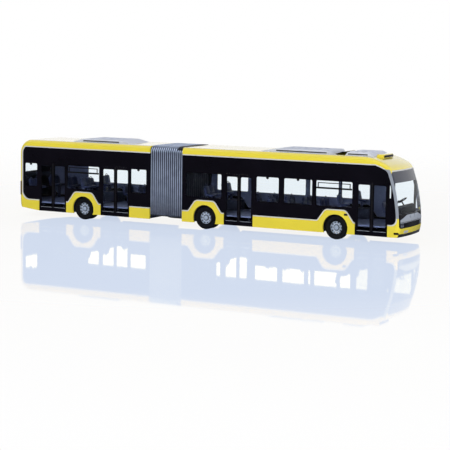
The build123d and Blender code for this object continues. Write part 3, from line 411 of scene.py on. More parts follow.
class ShaderTree:
    """A tree of shader nodes built step by step."""

    def __init__(self, tree):
        self.tree = tree

    def add(self, kind, **settings):
        node = self.tree.nodes.new(kind)
        for key, value in settings.items():
            setattr(node, key, value)
        return node

    def link(self, source, target):
        self.tree.links.new(source, target)

    def fill(self, socket, value):
        """Links a socket to a source, or sets its number or colour."""
        if isinstance(value, bpy.types.NodeSocket):
            self.link(value, socket)
        elif isinstance(value, (int, float)):
            socket.default_value = value
        else:
            socket.default_value = (*value, 1.0)

    def apart(self, vector):
        """The x, y and z of a vector."""
        node = self.add("ShaderNodeSeparateXYZ")
        self.link(vector, node.inputs[0])
        return tuple(node.outputs)

    def math(self, operation, *values):
        node = self.add("ShaderNodeMath", operation=operation)
        for socket, value in zip(node.inputs, values):
            self.fill(socket, value)
        return node.outputs[0]

    def all_of(self, *tests):
        """One where every test holds, else nought."""
        result = self.math(*tests[0])
        for test in tests[1:]:
            result = self.math("MULTIPLY", result, self.math(*test))
        return result

    def ranged(self, value, low, high, to_low=0.0, to_high=1.0, **settings):
        node = self.add("ShaderNodeMapRange", **settings)
        for key, number in (("From Min", low), ("From Max", high), ("To Min", to_low), ("To Max", to_high)):
            node.inputs[key].default_value = number
        self.link(value, node.inputs["Value"])
        return node.outputs["Result"]

    def mixed(self, factor, first, second):
        """Two colours mixed."""
        node = self.add("ShaderNodeMix", data_type="RGBA")
        for index, value in ((0, factor), (6, first), (7, second)):
            self.fill(node.inputs[index], value)
        return node.outputs[2]

    def surface(self, kind, colour, **values):
        """A plain shader of one colour."""
        node = self.add(kind)
        for key, value in {"Color": colour, **values}.items():
            self.fill(node.inputs[key], value)
        return node.outputs[0]

    def blended(self, factor, first, second):
        """Two shaders mixed."""
        node = self.add("ShaderNodeMixShader")
        for socket, source in zip(node.inputs, (factor, first, second)):
            self.link(source, socket)
        return node.outputs["Shader"]

    def sight(self):
        """Factors for rays from the camera, through glass too, and for rays that gloss sends on."""
        path = self.add("ShaderNodeLightPath").outputs
        direct = self.math("MAXIMUM", path["Is Camera Ray"], path["Is Transmission Ray"])
        return direct, self.math("MULTIPLY", path["Is Glossy Ray"], self.math("SUBTRACT", 1.0, direct))


class Finish(ShaderTree):
    """A node material built on one Principled shader."""

    def __init__(self, name):
        self.material = bpy.data.materials.new(name)
        self.material.use_nodes = True
        super().__init__(self.material.node_tree)
        self.shader = self.tree.nodes["Principled BSDF"]
        self.output = self.tree.nodes["Material Output"]
        self.place = self.add("ShaderNodeTexCoord").outputs["Object"]

    def set(self, **values):
        for key, value in values.items():
            self.shader.inputs[key.replace("_", " ")].default_value = value

    def noise(self, scale, detail):
        node = self.add("ShaderNodeTexNoise")
        for key, value in (("Scale", scale), ("Detail", detail), ("Roughness", 0.55)):
            node.inputs[key].default_value = value
        self.link(self.place, node.inputs["Vector"])
        return node.outputs["Fac"]

    def colour(self, source):
        self.link(source, self.shader.inputs["Base Color"])

    def colour_so_far(self):
        return self.shader.inputs["Base Color"].links[0].from_socket

    def roughness(self, source):
        self.link(source, self.shader.inputs["Roughness"])

    def bump(self, source, strength, distance):
        node = self.add("ShaderNodeBump")
        node.inputs["Strength"].default_value = strength
        node.inputs["Distance"].default_value = distance
        self.link(source, node.inputs["Height"])
        self.link(node.outputs["Normal"], self.shader.inputs["Normal"])


def shade(colour, factor):
    return tuple(min(1.0, c * factor) for c in colour)


def cabin_mask(finish, posts=False):
    """One inside the cabin's walls and, if asked, on the windscreen posts, where light and shade are painted;
    nought on the outer skin.
    """
    x, y, z = (finish.math("DIVIDE", place, MM) for place in finish.apart(finish.place))
    out = finish.math("ABSOLUTE", y)
    square = finish.math("MULTIPLY", y, y)
    rise = finish.math("MAXIMUM", finish.math("SUBTRACT", z, NOSE_FOOT), 0.0)
    rake = finish.math("DIVIDE", finish.math("MULTIPLY", rise, rise), NOSE_RAKE)
    nose = finish.math("ADD", finish.math("ADD", x, finish.math("DIVIDE", square, NOSE_PLAN)), rake)
    tail = finish.math("SUBTRACT", x, finish.math("DIVIDE", square, TAIL_PLAN))
    middle = finish.all_of(
        ("LESS_THAN", x, LEVEL_ROOF[1]), ("GREATER_THAN", x, LEVEL_ROOF[0]), ("LESS_THAN", z, INNER_TOP))
    front = finish.all_of(
        ("GREATER_THAN", x, 0.0), ("LESS_THAN", nose, CABIN_FRONT), ("LESS_THAN", z, NOSE_TOP))
    rear = finish.all_of(
        ("LESS_THAN", x, 0.0), ("GREATER_THAN", tail, CABIN_REAR), ("LESS_THAN", z, TAIL_TOP))
    cabin = finish.math("MAXIMUM", middle, finish.math("MAXIMUM", front, rear))
    mask = finish.math("MULTIPLY", finish.math("LESS_THAN", out, INNER_HALF), cabin)
    if posts:
        post = finish.all_of(
            ("GREATER_THAN", x, POST_FROM), ("GREATER_THAN", z, POST_Z[0]), ("LESS_THAN", z, POST_Z[1]),
            ("LESS_THAN", out, POST_HALF), ("LESS_THAN", nose, CABIN_FRONT))
        mask = finish.math("MAXIMUM", mask, post)
    return mask


def moulded(name, colour, rough, swing=0.06, bump=0.12, coat=0.0, metallic=0.0, shine=0.5, inside_light_and_shade=None,
            gloss=0.05, posts=False):
    """Painted or moulded plastic with faint drift, uneven gloss and a fine skin; inside_light_and_shade is
    the cabin's light and shade painted on its faces inside.
    """
    finish = Finish(name)
    drift = finish.ranged(finish.noise(55.0, 4.0), 0.3, 0.7)
    skin = finish.mixed(drift, shade(colour, 1 - swing), shade(colour, 1 + swing))
    if inside_light_and_shade:
        skin = finish.mixed(cabin_mask(finish, posts), skin, inside_light_and_shade)
    finish.colour(skin)
    finish.roughness(finish.ranged(finish.noise(420.0, 4.0), 0.3, 0.7, rough * 0.85, rough * 1.2))
    finish.bump(finish.noise(2600.0, 2.0), bump, 0.02 * MM)
    finish.set(Coat_Weight=coat, Coat_Roughness=gloss, Metallic=metallic, Specular_IOR_Level=shine)
    return finish


def shell_paint(name, colour):
    """Gloss shell paint with painted shade inside the cabin and on the windscreen posts, and a small dark
    marker printed on each front wheel arch.
    """
    finish = moulded(
        name, colour, 0.22, swing=0.03, bump=0.04, coat=1.0, gloss=0.03, inside_light_and_shade=DARK, posts=True)
    x, y, z = finish.apart(finish.place)
    printed = finish.all_of(
        ("GREATER_THAN", finish.math("ABSOLUTE", y), MARKER_FROM * MM),
        ("GREATER_THAN", x, MARKER_X[0] * MM), ("LESS_THAN", x, MARKER_X[1] * MM),
        ("GREATER_THAN", z, MARKER_Z[0] * MM), ("LESS_THAN", z, MARKER_Z[1] * MM))
    finish.colour(finish.mixed(printed, finish.colour_so_far(), DARK))
    return finish


def clear_glazing(name, tint, edged=False):
    """Clear plastic that lets the lamps through to the cabin, with dark edges if asked."""
    finish = Finish(name)
    wave = finish.ranged(finish.noise(38.0, 2.0), 0.35, 0.65)
    rough = 0.012
    finish.colour(finish.mixed(wave, shade(tint, 0.97), tint))
    finish.roughness(finish.ranged(finish.noise(260.0, 3.0), 0.3, 0.7, rough * 0.7, rough * 1.3))
    finish.set(Transmission_Weight=1.0, IOR=1.065)
    through = finish.surface("ShaderNodeBsdfTransparent", shade(tint, 0.38))
    shadow = finish.add("ShaderNodeLightPath").outputs["Is Shadow Ray"]
    glass = finish.blended(shadow, finish.shader.outputs["BSDF"], through)
    if edged:
        _, across, _ = finish.apart(finish.add("ShaderNodeTexCoord").outputs["Normal"])
        rim = finish.math("LESS_THAN", finish.math("ABSOLUTE", across), 0.5)
        glass = finish.blended(rim, glass, finish.surface("ShaderNodeBsdfDiffuse", SEAL_BLACK))
    finish.link(glass, finish.output.inputs["Surface"])
    return finish


def folded_skin(name, high, low):
    """Coated bellows cloth, painted paler along the ridges of its folds as highlight and darker in the
    valleys as shade, and painted dark as shade where the fold is below nought.
    """
    finish = Finish(name)
    fold = finish.add("ShaderNodeAttribute", attribute_name="fold").outputs["Fac"]
    # Painted highlight on the ridges and painted shade in the valleys
    ridge = finish.math("POWER", finish.math("MAXIMUM", fold, 0.0), 4.4)
    worn = finish.noise(300.0, 4.0)
    # Painted shade on the front of the bellows top
    shaded_top = finish.math("LESS_THAN", fold, -0.5)
    base = finish.mixed(shaded_top, finish.mixed(ridge, low, high), (0.008, 0.008, 0.01))
    finish.colour(finish.mixed(finish.ranged(worn, 0.35, 0.75, 0.0, 0.35), base, shade(low, 1.5)))
    finish.roughness(finish.ranged(worn, 0.3, 0.7, 0.42, 0.62))
    finish.bump(finish.noise(3800.0, 2.0), 0.2, 0.03 * MM)
    return finish


def wheel_radius(finish, axles):
    """Distance from the nearest axle, and from the middle of the bus."""
    x, y, z = finish.apart(finish.place)
    radii = []
    for axle_x, axle_z in axles:
        squares = []
        for place, middle in ((x, axle_x), (z, axle_z)):
            away = finish.math("SUBTRACT", place, middle * MM)
            squares.append(finish.math("MULTIPLY", away, away))
        radii.append(finish.math("SQRT", finish.math("ADD", *squares)))
    nearest = radii[0]
    for other in radii[1:]:
        nearest = finish.math("MINIMUM", nearest, other)
    return nearest, finish.math("ABSOLUTE", y)


def wheel_paint(name, colour, axles):
    """Silver on the wheel's disc, with painted shade in a ring round the hub, at and beyond the barrel, and
    behind the disc face.
    """
    finish = moulded(name, colour, 0.32, swing=0.06, bump=0.10, metallic=0.35)
    radius, out = wheel_radius(finish, axles)
    # Painted shade in a ring round the hub
    ring = finish.all_of(
        ("GREATER_THAN", radius, RIM_SHADE_RING[0] * MM), ("LESS_THAN", radius, RIM_SHADE_RING[1] * MM))
    ring_shaded = finish.mixed(ring, finish.colour_so_far(), shade(colour, 0.28))
    # Painted shade at and beyond the barrel and behind the disc face
    barrel = finish.math("GREATER_THAN", radius, RIM_EDGE * MM)
    painted_shade = finish.math("MAXIMUM", barrel, finish.math("LESS_THAN", out, RIM_DEPTH * MM))
    finish.colour(finish.mixed(painted_shade, ring_shaded, DARK))
    return finish


def tread_rubber(name, axles):
    """Matt tyre rubber with faint rings on the walls."""
    finish = Finish(name)
    radius, _ = wheel_radius(finish, axles)
    rings = finish.math("SINE", finish.math("MULTIPLY", radius, 2 * math.pi / (WALL_RINGS * MM)))
    dust = finish.noise(500.0, 5.0)
    dusty = finish.ranged(dust, 0.35, 0.75)
    finish.colour(finish.mixed(dusty, (0.004, 0.0045, 0.0065), (0.009, 0.010, 0.014)))
    finish.roughness(finish.ranged(dust, 0.3, 0.7, 0.5, 0.75))
    finish.set(Specular_IOR_Level=0.22)
    finish.bump(finish.math("ADD", finish.math("MULTIPLY", rings, 0.5), dust), 0.35, 0.05 * MM)
    return finish


class BUS_OT_finishes(bpy.types.Operator):
    """Paint every solid with the finish of its real counterpart"""

    bl_idname = "bus.finishes"
    bl_label = "Finishes"

    def execute(self, context):
        paint = context.scene.bus_paint
        axles = [wheel_set(name)[:2] for name in TYRES_A_SIDE]
        made = {
            # The shell is painted dark inside the cabin and on the windscreen posts as shade
            "yellow": shell_paint("yellow_gloss", paint.yellow),
            # Black walls, painted lighter inside as light in the cabin
            "gloss_black": moulded("black_gloss", paint.black, 0.10, swing=0.25, bump=0.03, shine=0.12,
                                   inside_light_and_shade=CABIN_PAINTED_LIGHT),
            "clear": clear_glazing("clear_glazing", paint.glass),
            "display": moulded("smoked_display", (0.05, 0.054, 0.075), 0.16, swing=0.12, bump=0.03,
                               shine=0.3),
            # Silver, painted dark inside the cabin as shade
            "silver": moulded("silver_paint", paint.silver, 0.30, swing=0.05, bump=0.10, coat=0.2,
                              metallic=0.25, inside_light_and_shade=DARK),
            "lamp": moulded("lamp_smoked", (0.035, 0.04, 0.055), 0.08, swing=0.3, bump=0.06, coat=0.8),
            "tail_lamp": moulded("tail_red", (0.045, 0.004, 0.006), 0.12, swing=0.25, bump=0.08, coat=0.9),
            "chassis": moulded("chassis_black", (0.030, 0.036, 0.062), 0.55, swing=0.2, bump=0.2,
                               shine=0.12),
            "floor": moulded("cabin_floor", (0.11, 0.13, 0.23), 0.6, swing=0.2, bump=0.2, shine=0.12),
            "seat": moulded("seat_blue", paint.seat, 0.5, swing=0.2, bump=0.25, shine=0.12),
            "dash": moulded("dash_grey", (0.006, 0.007, 0.011), 0.5, swing=0.2, bump=0.2, shine=0.08),
            "cowl": moulded("cowl_grey", paint.cowl, 0.42, swing=0.04, bump=0.12),
            # Grille grey darkened to near black as painted shade on the roof units' sides
            "grille": moulded("grille_shade_grey", (0.055, 0.06, 0.08), 0.5, swing=0.12, bump=0.15),
            "frame": moulded("frame_black", DARK, 0.5, swing=0.2, bump=0.2, shine=0.2),
            "axle": moulded("drawn_steel", (0.45, 0.45, 0.47), 0.3, swing=0.08, bump=0.1, metallic=1.0),
            "rim": wheel_paint("rim_silver", (0.48, 0.57, 0.72), axles),
            "tyre": tread_rubber("tyre_rubber", axles),
            "bellows": folded_skin("bellows_cloth", paint.fold_highlight, paint.fold_shade),
        }
        for entry in frame["record"]["subparts"]:
            node = nodes[entry["node"]]
            node.data.materials.clear()
            node.data.materials.append(made[entry["material_slot"]].material)
        pale = moulded("pale_line", (0.66, 0.66, 0.64), 0.30, swing=0.05, bump=0.08, metallic=0.1)
        # Pillar strips, painted dark inside the cabin as shade
        pillar = moulded("pillar_silver", shade(paint.silver, 0.75), 0.4, swing=0.05, bump=0.10,
                         metallic=0.2, inside_light_and_shade=DARK)
        edged = clear_glazing("side_glazing", paint.glass, edged=True)
        for finish, names in (
            (pale, ("front_lines", "rear_lines")),
            (pillar, ("pillar_trims",)),
            (edged, ("front_panes_right", "front_panes_left", "rear_panes_right", "rear_panes_left")),
        ):
            for name in names:
                nodes[name].data.materials[0] = finish.material
        moulded("reflector", (0.30, 0.32, 0.38), 0.10, swing=0.06, bump=0.05, metallic=0.9)
        # Nuts of lighter metal, painted near white as a highlight
        moulded("nut_metal_and_highlight", (0.80, 0.84, 0.92), 0.35, swing=0.05, bump=0.05, metallic=0.1)
        moulded("plate_blank", (0.42, 0.43, 0.47), 0.35, swing=0.05, bump=0.08)
        return {"FINISHED"}


def mark_folds(piece, valley_y, valley_z, depth, corner):
    """Notes on each vertex how far it stands out, from nought in a valley to one on a ridge, for painted
    shade and highlight; the top is raised as painted light, and -1 marks painted shade.
    """
    fold = piece.data.attributes.new("fold", "FLOAT", "POINT")
    for vertex, value in zip(piece.data.vertices, fold.data):
        out_y, out_z = abs(vertex.co.y) - valley_y, vertex.co.z - valley_z
        height = out_y / depth
        if min(out_y, out_z) > -corner:
            height = (math.hypot(out_y + corner, out_z + corner) - corner) / depth
        # The top is painted pale as light from above
        if out_z > -LIT_TOP * MM:
            height = LIT_TOP_TONE + (1 - LIT_TOP_TONE) * min(1.0, max(0.0, out_z / depth))
        value.value = min(1.0, max(0.0, height))
        # The front of the top is painted dark as shade
        if out_z > -SHADED_TOP * MM and vertex.co.x > SHADED_TOP_FROM * MM:
            value.value = -1.0


class BUS_OT_bellows(bpy.types.Operator):
    """Fold the bellows between the two cars"""

    bl_idname = "bus.bellows"
    bl_label = "Bellows"

    def execute(self, context):
        sizes = context.scene.bus_sizes
        low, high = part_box("bellows")
        front_x, rear_x = high[0], low[0]
        ridge_y, ridge_z, foot_z = high[1], high[2], low[2]
        valley_y, valley_z = ridge_y - sizes.fold_depth, ridge_z - sizes.fold_depth
        pitch = (front_x - rear_x) / sizes.pleats
        start_piece()
        bpy.ops.mesh.primitive_plane_add(
            size=1.0, rotation=(0, math.pi / 2, 0), location=(front_x, 0, (foot_z + valley_z) / 2))
        piece = bpy.context.object
        piece.scale = (valley_z - foot_z, 2 * valley_y, 1.0)
        settle(piece, "bellows_skin")
        bpy.ops.object.mode_set(mode="EDIT")
        pick("VERT", lambda p: p.z > foot_z + MM)
        bpy.ops.mesh.bevel(offset=sizes.corner, segments=5, affect="VERTICES")
        pick("FACE", lambda p: True)
        bpy.ops.mesh.delete(type="ONLY_FACE")
        pick("EDGE", lambda p: abs(p.z - foot_z) < MM / 10)
        bpy.ops.mesh.delete(type="EDGE")
        bpy.ops.mesh.select_mode(type="EDGE")
        bpy.ops.mesh.select_all(action="SELECT")
        grow = (1.0, ridge_y / valley_y, (ridge_z - foot_z) / (valley_z - foot_z))
        shrink = tuple(1.0 / g for g in grow)
        x = front_x
        for _ in range(sizes.pleats):
            for share, factor in ((PLEAT_SLOPE, grow), (PLEAT_CREST, None), (PLEAT_SLOPE, shrink)):
                x -= share * pitch
                bpy.ops.mesh.extrude_region_move(TRANSFORM_OT_translate={"value": (-share * pitch, 0, 0)})
                if factor:
                    bpy.ops.transform.resize(value=factor, center_override=(x, 0, foot_z))
        bpy.ops.mesh.select_all(action="SELECT")
        bpy.ops.mesh.remove_doubles(threshold=MERGE)
        bpy.ops.mesh.normals_make_consistent(inside=False)
        bpy.ops.object.mode_set(mode="OBJECT")
        piece.modifiers.new("Skin", "SOLIDIFY").thickness = sizes.skin
        smooth = piece.modifiers.new("Round", "SUBSURF")
        smooth.levels = smooth.render_levels = 2
        apply_modifiers(piece)
        bpy.ops.object.shade_smooth()
        mark_folds(piece, valley_y, valley_z, sizes.fold_depth, sizes.corner)
        dress(piece, bpy.data.materials["bellows_cloth"])
        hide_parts("bellows")
        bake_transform(piece)
        return {"FINISHED"}


class BUS_OT_tyres(bpy.types.Operator):
    """Turn the grooved tyres, single in front and twin behind"""

    bl_idname = "bus.tyres"
    bl_label = "Tyres"

    def execute(self, context):
        half = TYRE_WALL + TYRE_TREAD
        profile = half + tuple((radius, TYRE_WIDTH - height) for radius, height in reversed(half))
        tyre = turned("tyre", profile, sides=TYRE_SIDES, ring=True)
        bpy.ops.object.mode_set(mode="EDIT")

        def lug(p):
            part = int((math.atan2(p.y, p.x) + math.pi) / (2 * math.pi) * TYRE_SIDES)
            deep = min(p.z, TYRE_WIDTH * MM - p.z)
            shoulder = LUG_FROM * MM < deep < LUG_TO * MM and math.hypot(p.x, p.y) > LUG_RADIUS * MM
            return part % 2 == 0 and shoulder

        pick("FACE", lug)
        bpy.ops.mesh.extrude_region_shrink_fatten(TRANSFORM_OT_shrink_fatten={"value": -LUG_DEPTH * MM})
        bpy.ops.object.mode_set(mode="OBJECT")
        for name, count in TYRES_A_SIDE.items():
            x, z, face = wheel_set(name)
            pieces = []
            for side in (-1, 1):
                for step in range(count):
                    pieces.append(copied(tyre, axle_place(x, side * (face - step * TWIN_PITCH), z, side)))
            tread = joined(f"{name}_tread", pieces)
            fitted(tread, "tyre_rubber", "tyre", f"{name}_wheels", f"{name}_tyres")
        discard(tyre)
        return {"FINISHED"}


class BUS_OT_wheel_trim(bpy.types.Operator):
    """Set the hub caps and wheel nuts"""

    bl_idname = "bus.wheel_trim"
    bl_label = "Wheel trim"

    def execute(self, context):
        hub = turned("hub", HUB)
        nut = turned("nut", NUT, sides=6)
        for name in TYRES_A_SIDE:
            x, z, face = wheel_set(name)
            caps, nuts = [], []
            for side in (-1, 1):
                caps.append(copied(hub, axle_place(x, side * (face - HUB_INSET), z, -side)))
                for step in range(NUTS):
                    angle = 2 * math.pi * (step + 0.5) / NUTS
                    nut_x, nut_z = x + NUT_CIRCLE * math.cos(angle), z + NUT_CIRCLE * math.sin(angle)
                    nuts.append(copied(nut, axle_place(nut_x, side * (face - NUT_INSET), nut_z, -side)))
            fitted(joined(f"{name}_hub_caps", caps), "rim_silver", "rim", f"{name}_wheels")
            fitted(joined(f"{name}_wheel_nuts", nuts), "nut_metal_and_highlight", "rim", f"{name}_wheels")
        discard(hub, nut)
        return {"FINISHED"}


def seat_back(lean):
    """A seat back with a rounded top, leaning back about the rear of its cushion."""
    back = block("back", x=(0.05, 0.85), y=(-SEAT_HALF, SEAT_HALF), z=(-0.9, SEAT_TOP))
    bpy.ops.object.mode_set(mode="EDIT")
    top, side = (SEAT_TOP - PICK_MARGIN) * MM, (SEAT_HALF - PICK_MARGIN) * MM
    pick("EDGE", lambda p: p.z > top and abs(p.y) > side)
    bpy.ops.mesh.bevel(offset=SEAT_ROUND * MM, segments=5, affect="EDGES")
    bpy.ops.object.mode_set(mode="OBJECT")
    ease = back.modifiers.new("Ease", "BEVEL")
    ease.width = 0.16 * MM
    ease.segments = 2
    apply_modifiers(back)
    bpy.ops.object.mode_set(mode="EDIT")
    bpy.ops.mesh.select_all(action="SELECT")
    bpy.ops.transform.rotate(value=lean, orient_axis="Y", center_override=(0, 0, 0))
    bpy.ops.object.mode_set(mode="OBJECT")
    if max(back.data.vertices, key=lambda v: v.co.z).co.x > 0:
        raise RuntimeError("the seat back leans forward")
    return back


def grab_loop():
    """The upper part of a wire ring, closed where it is cut."""
    start_piece()
    bpy.ops.mesh.primitive_torus_add(
        major_radius=LOOP_RADIUS * MM, minor_radius=LOOP_WIRE * MM, major_segments=20, minor_segments=8,
        rotation=(math.pi / 2, 0, math.pi / 2))
    loop = settle(bpy.context.object, "loop")
    bpy.ops.object.mode_set(mode="EDIT")
    pick("VERT", lambda p: p.z < LOOP_CUT * MM)
    bpy.ops.mesh.delete(type="VERT")
    bpy.ops.mesh.select_all(action="SELECT")
    bpy.ops.mesh.fill_holes(sides=0)
    bpy.ops.object.mode_set(mode="OBJECT")
    return loop


class BUS_OT_seats(bpy.types.Operator):
    """Mould the seats with rounded backs, pedestals and grab loops"""

    bl_idname = "bus.seats"
    bl_label = "Seats"

    lean: bpy.props.FloatProperty(
        name="Lean", description="Slope of the seat backs", default=math.radians(12.5), subtype="ANGLE")

    def execute(self, context):
        back = seat_back(self.lean)
        across = (-SEAT_HALF, SEAT_HALF)
        cushion = bar("cushion", x=(0.4, 4.35), y=across, z=(-1.0, 0.0), ease=0.36, segments=3)
        loop = grab_loop()
        unit = joined("seat", [back, cushion, copied(loop, shift(-0.38, 0.0, 3.65))])
        discard(loop)
        leg = bar("leg", x=(1.15, 2.15), y=(-0.6, 0.6), z=(0.0, 1.0), ease=0.1, segments=1)
        for name, rows in SEAT_ROWS.items():
            pieces = []
            for x, side, (base, rise), places in rows:
                for y in places:
                    pieces.append(copied(unit, shift(x, side * y, base + rise)))
                    tall = Matrix.Diagonal((1, 1, rise - LEG_BELOW_TOP, 1))
                    pieces.append(copied(leg, shift(x, side * y, base) @ tall))
            seats = joined(f"{name}_seat_mouldings", pieces)
            fitted(seats, "seat_blue", "seat", f"{name}_car", f"{name}_seats")
        discard(unit, leg)
        return {"FINISHED"}


class BUS_OT_door_trim(bpy.types.Operator):
    """Set the door seals and thresholds"""

    bl_idname = "bus.door_trim"
    bl_label = "Door trim"

    def execute(self, context):
        for name, doors in DOORS.items():
            seals, sills = [], []
            for start, end in doors:
                middle = (start + end) / 2
                x = (middle - SEAL_HALF, middle + SEAL_HALF)
                seals.append(bar("seal", x, SEAL_Y, SEAL_Z, ease=0.05))
                for x in ((start + SILL_END, middle - SILL_GAP), (middle + SILL_GAP, end - SILL_END)):
                    sills.append(bar("sill", x, SILL_Y, SILL_Z, ease=0.04))
            fitted(joined(f"{name}_door_seals", seals), "frame_black", "frame", f"{name}_car")
            fitted(joined(f"{name}_door_sills", sills), "silver_paint", "silver", f"{name}_car")
        return {"FINISHED"}


class BUS_OT_window_trim(bpy.types.Operator):
    """Set the vent frames and the catches of the windows"""

    bl_idname = "bus.window_trim"
    bl_label = "Window trim"

    def execute(self, context):
        for name, (start, end) in VENTS.items():
            pieces = []
            for x, z in (
                ((start + VENT_END, end - VENT_END), VENT_RAIL_Z),
                ((start + VENT_INSET, end - VENT_INSET), VENT_HEAD_Z),
                ((start + VENT_INSET, start + VENT_POST), VENT_POST_Z),
                ((end - VENT_POST, end - VENT_INSET), VENT_POST_Z),
            ):
                pieces.append(bar("vent", x, VENT_Y, z, ease=0.05))
            for x in CATCHES[name]:
                pieces.append(bar("catch", (x - CATCH_HALF, x + CATCH_HALF), CATCH_Y, CATCH_Z, ease=0.07))
                pieces.append(bar("knob", (x - KNOB_HALF, x + KNOB_HALF), KNOB_Y, KNOB_Z, ease=0.08))
            fitted(joined(f"{name}_window_trim", pieces), "frame_black", "frame", f"{name}_car")
        return {"FINISHED"}


class BUS_OT_end_trim(bpy.types.Operator):
    """Set the lamp reflectors, front band, roof inlet, corner posts, rear panel and blank plates"""

    bl_idname = "bus.end_trim"
    bl_label = "End trim"

    def execute(self, context):
        cup = turned("cup", CUP, sides=28)
        pieces = []
        for y in CUPS_Y:
            out = Vector((1.0, 2 * y / NOSE_PLAN, 0.0)).normalized()
            turn = out.to_track_quat("Z", "Y").to_matrix().to_4x4()
            pieces.append(copied(cup, shift(LAMP_FRONT - y * y / NOSE_PLAN, y, CUPS_Z) @ turn))
        discard(cup)
        fitted(joined("headlamp_reflectors", pieces), "reflector", "lamp", "front_car")
        band = wrapped(
            "front_band", "front_mask", end=1, y=0.0, z=9.48, width=26.4, height=0.24, thickness=0.10)
        fitted(band, "silver_paint", "silver", "front_car")
        plate = wrapped(
            "front_plate", "front_skirts", end=1, y=-7.2, z=5.25, width=4.4, height=1.1, thickness=0.08)
        fitted(plate, "plate_blank", "silver", "front_car")
        hood = bar("inlet_hood", x=(88.02, 91.3), y=(-5.98, 5.98), z=(37.5, 39.35), ease=0.3, segments=3)
        # The inlet's mouth, a black block that also stands in for the shade under the air unit's front end
        mouth = bar("inlet_mouth_shade", x=(91.0, 91.75), y=(-5.2, 5.2), z=(37.9, 38.95), ease=0.15)
        fitted(hood, "yellow_gloss", "yellow", "front_car", "roof_inlet")
        fitted(mouth, "frame_black", "frame", "front_car")
        posts = []
        for y in (-13.3, 13.3):
            posts.append(bar("post", x=(99.1, 100.1), y=(y - 0.3, y + 0.3), z=(13.5, 27.6), ease=0.12))
        fitted(joined("front_corner_posts", posts), "frame_black", "frame", "front_car")
        panel = bar("rear_corner_panel", x=(-102.85, -102.55), y=(4.4, 12.6), z=(20.8, 30.2), ease=0.1)
        fitted(panel, "frame_black", "frame", "rear_car")
        plate = wrapped(
            "rear_plate", "rear_hatch", end=-1, y=0.0, z=10.0, width=6.0, height=1.3, thickness=0.12)
        fitted(plate, "plate_blank", "silver", "rear_car")
        return {"FINISHED"}


def pale_floor(stage):
    """A floor that keeps the bus's shadow, mirrors a little of it and fades into the backdrop."""
    finish = Finish("pale_floor")
    finish.tree.nodes.remove(finish.shader)
    cloud = finish.ranged(finish.noise(3.0, 2.0), 0.3, 0.7)
    tone = finish.mixed(cloud, (0.66, 0.74, 0.89), (0.68, 0.76, 0.91))
    matt = finish.surface("ShaderNodeBsdfDiffuse", tone)
    glow = finish.surface("ShaderNodeEmission", tone)
    mirror = finish.surface("ShaderNodeBsdfGlossy", stage.floor_mirror, Roughness=0.03)
    dim = finish.surface("ShaderNodeBsdfDiffuse", stage.floor_dim)
    direct, mirrored = finish.sight()
    ground = finish.blended(finish.math("MULTIPLY", direct, stage.floor_glow), matt, glow)
    both = finish.add("ShaderNodeAddShader")
    finish.link(ground, both.inputs[0])
    finish.link(mirror, both.inputs[1])
    coat = finish.blended(mirrored, both.outputs["Shader"], dim)
    away = finish.add("ShaderNodeVectorMath", operation="LENGTH")
    finish.link(finish.place, away.inputs[0])
    faded = finish.ranged(away.outputs["Value"], stage.floor_near, stage.floor_far)
    clear = finish.surface("ShaderNodeBsdfTransparent", WHITE)
    finish.link(finish.blended(faded, coat, clear), finish.output.inputs["Surface"])
    return finish.material


def white_room(scene, stage):
    """A white backdrop, light that is weaker from overhead, and for gloss a room that is dim in front."""
    world = bpy.data.worlds.new("white_room")
    scene.world = world
    world.use_nodes = True
    room = ShaderTree(world.node_tree)
    _, y, z = room.apart(room.add("ShaderNodeTexCoord").outputs["Generated"])
    lifted = room.math("ADD", y, room.math("MULTIPLY", z, ROOM_LIFT))
    behind = room.ranged(lifted, *ROOM_EDGE, to_low=stage.room, interpolation_type="SMOOTHSTEP")
    overhead = room.math("MULTIPLY", room.math("MAXIMUM", z, 0.0), stage.sky * SKY_LOSS)
    sky = room.math("SUBTRACT", stage.sky, overhead)
    even = room.surface("ShaderNodeBackground", (0.97, 0.98, 1.0), Strength=sky)
    backdrop = room.surface("ShaderNodeBackground", WHITE, Strength=1.0)
    in_gloss = room.surface("ShaderNodeBackground", WHITE, Strength=behind)
    direct, mirrored = room.sight()
    shown = room.blended(mirrored, room.blended(direct, even, backdrop), in_gloss)
    room.link(shown, room.tree.nodes["World Output"].inputs["Surface"])


def hang_lamps(scene, power):
    """Soft lamps that neither the camera nor gloss sees."""
    for name, place, aim, size, share in LAMPS:
        light = bpy.data.lights.new(name, "AREA")
        light.size = size
        light.energy = power * share
        lamp = bpy.data.objects.new(name, light)
        lamp.location = place
        lamp.rotation_euler = (Vector(aim) - Vector(place)).to_track_quat("-Z", "Y").to_euler()
        lamp.visible_camera = False
        lamp.visible_glossy = False
        scene.collection.objects.link(lamp)


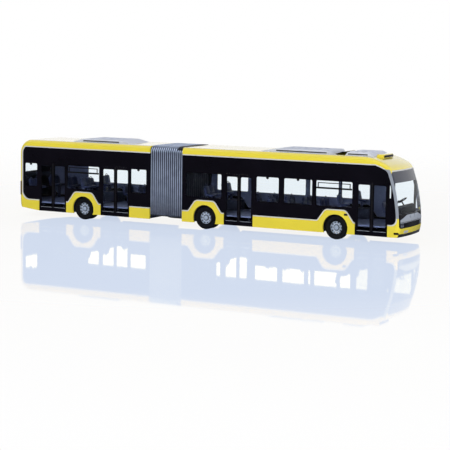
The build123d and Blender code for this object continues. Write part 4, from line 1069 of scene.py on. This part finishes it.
def place_camera(scene, stage):
    """The camera at its place, turned by its azimuth, elevation and roll."""
    azimuth, elevation, roll = stage.azimuth, stage.elevation, stage.roll
    back = Vector((math.sin(azimuth) * math.cos(elevation), -math.cos(azimuth) * math.cos(elevation),
                   math.sin(elevation)))
    right = Vector((math.cos(azimuth), math.sin(azimuth), 0.0))
    up = back.cross(right)
    turned_right = math.cos(roll) * right + math.sin(roll) * up
    turned_up = math.cos(roll) * up - math.sin(roll) * right
    lens = bpy.data.cameras.new("camera")
    lens.sensor_width = 36.0
    lens.lens = stage.lens
    lens.clip_start, lens.clip_end = 0.01, 50.0
    camera = bpy.data.objects.new("camera", lens)
    turn = Matrix((turned_right, turned_up, back)).transposed().to_4x4()
    camera.matrix_world = Matrix.Translation(Vector(stage.camera_place)) @ turn
    scene.collection.objects.link(camera)
    scene.camera = camera


class BUS_OT_stage(bpy.types.Operator):
    """Set the pale floor, the soft light and the camera"""

    bl_idname = "bus.stage"
    bl_label = "Stage"

    def execute(self, context):
        stage = context.scene.bus_stage
        start_piece()
        bpy.ops.mesh.primitive_plane_add(size=FLOOR_SIZE)
        floor = settle(bpy.context.object, "floor")
        floor.data.materials.append(pale_floor(stage))
        white_room(context.scene, stage)
        hang_lamps(context.scene, stage.key)
        place_camera(context.scene, stage)
        context.scene.view_settings.view_transform = "Standard"
        return {"FINISHED"}


class BUS_PT_tools(bpy.types.Panel):
    """Lists the steps in order"""

    bl_idname = "BUS_PT_tools"
    bl_label = "Bus model"
    bl_space_type = "VIEW_3D"
    bl_region_type = "UI"
    bl_category = "Bus"

    def draw(self, context):
        for step in STEPS:
            self.layout.operator(step.bl_idname)


GROUPS = (("bus_paint", BusPaint), ("bus_sizes", BusSizes), ("bus_stage", BusStage))
STEPS = (BUS_OT_finishes, BUS_OT_bellows, BUS_OT_tyres, BUS_OT_wheel_trim, BUS_OT_seats, BUS_OT_door_trim,
         BUS_OT_window_trim, BUS_OT_end_trim, BUS_OT_stage)
CLASSES = tuple(group for _, group in GROUPS) + STEPS + (BUS_PT_tools,)


def register():
    for item in CLASSES:
        bpy.utils.register_class(item)
    for name, group in GROUPS:
        setattr(bpy.types.Scene, name, bpy.props.PointerProperty(type=group))


def unregister():
    for name, _ in GROUPS:
        delattr(bpy.types.Scene, name)
    for item in reversed(CLASSES):
        bpy.utils.unregister_class(item)


def main():
    register()
    bpy.ops.bus.finishes()
    bpy.ops.bus.bellows()
    bpy.ops.bus.tyres()
    bpy.ops.bus.wheel_trim()
    bpy.ops.bus.seats()
    bpy.ops.bus.door_trim()
    bpy.ops.bus.window_trim()
    bpy.ops.bus.end_trim()
    bpy.ops.bus.stage()


if __name__ == "__main__":
    main()
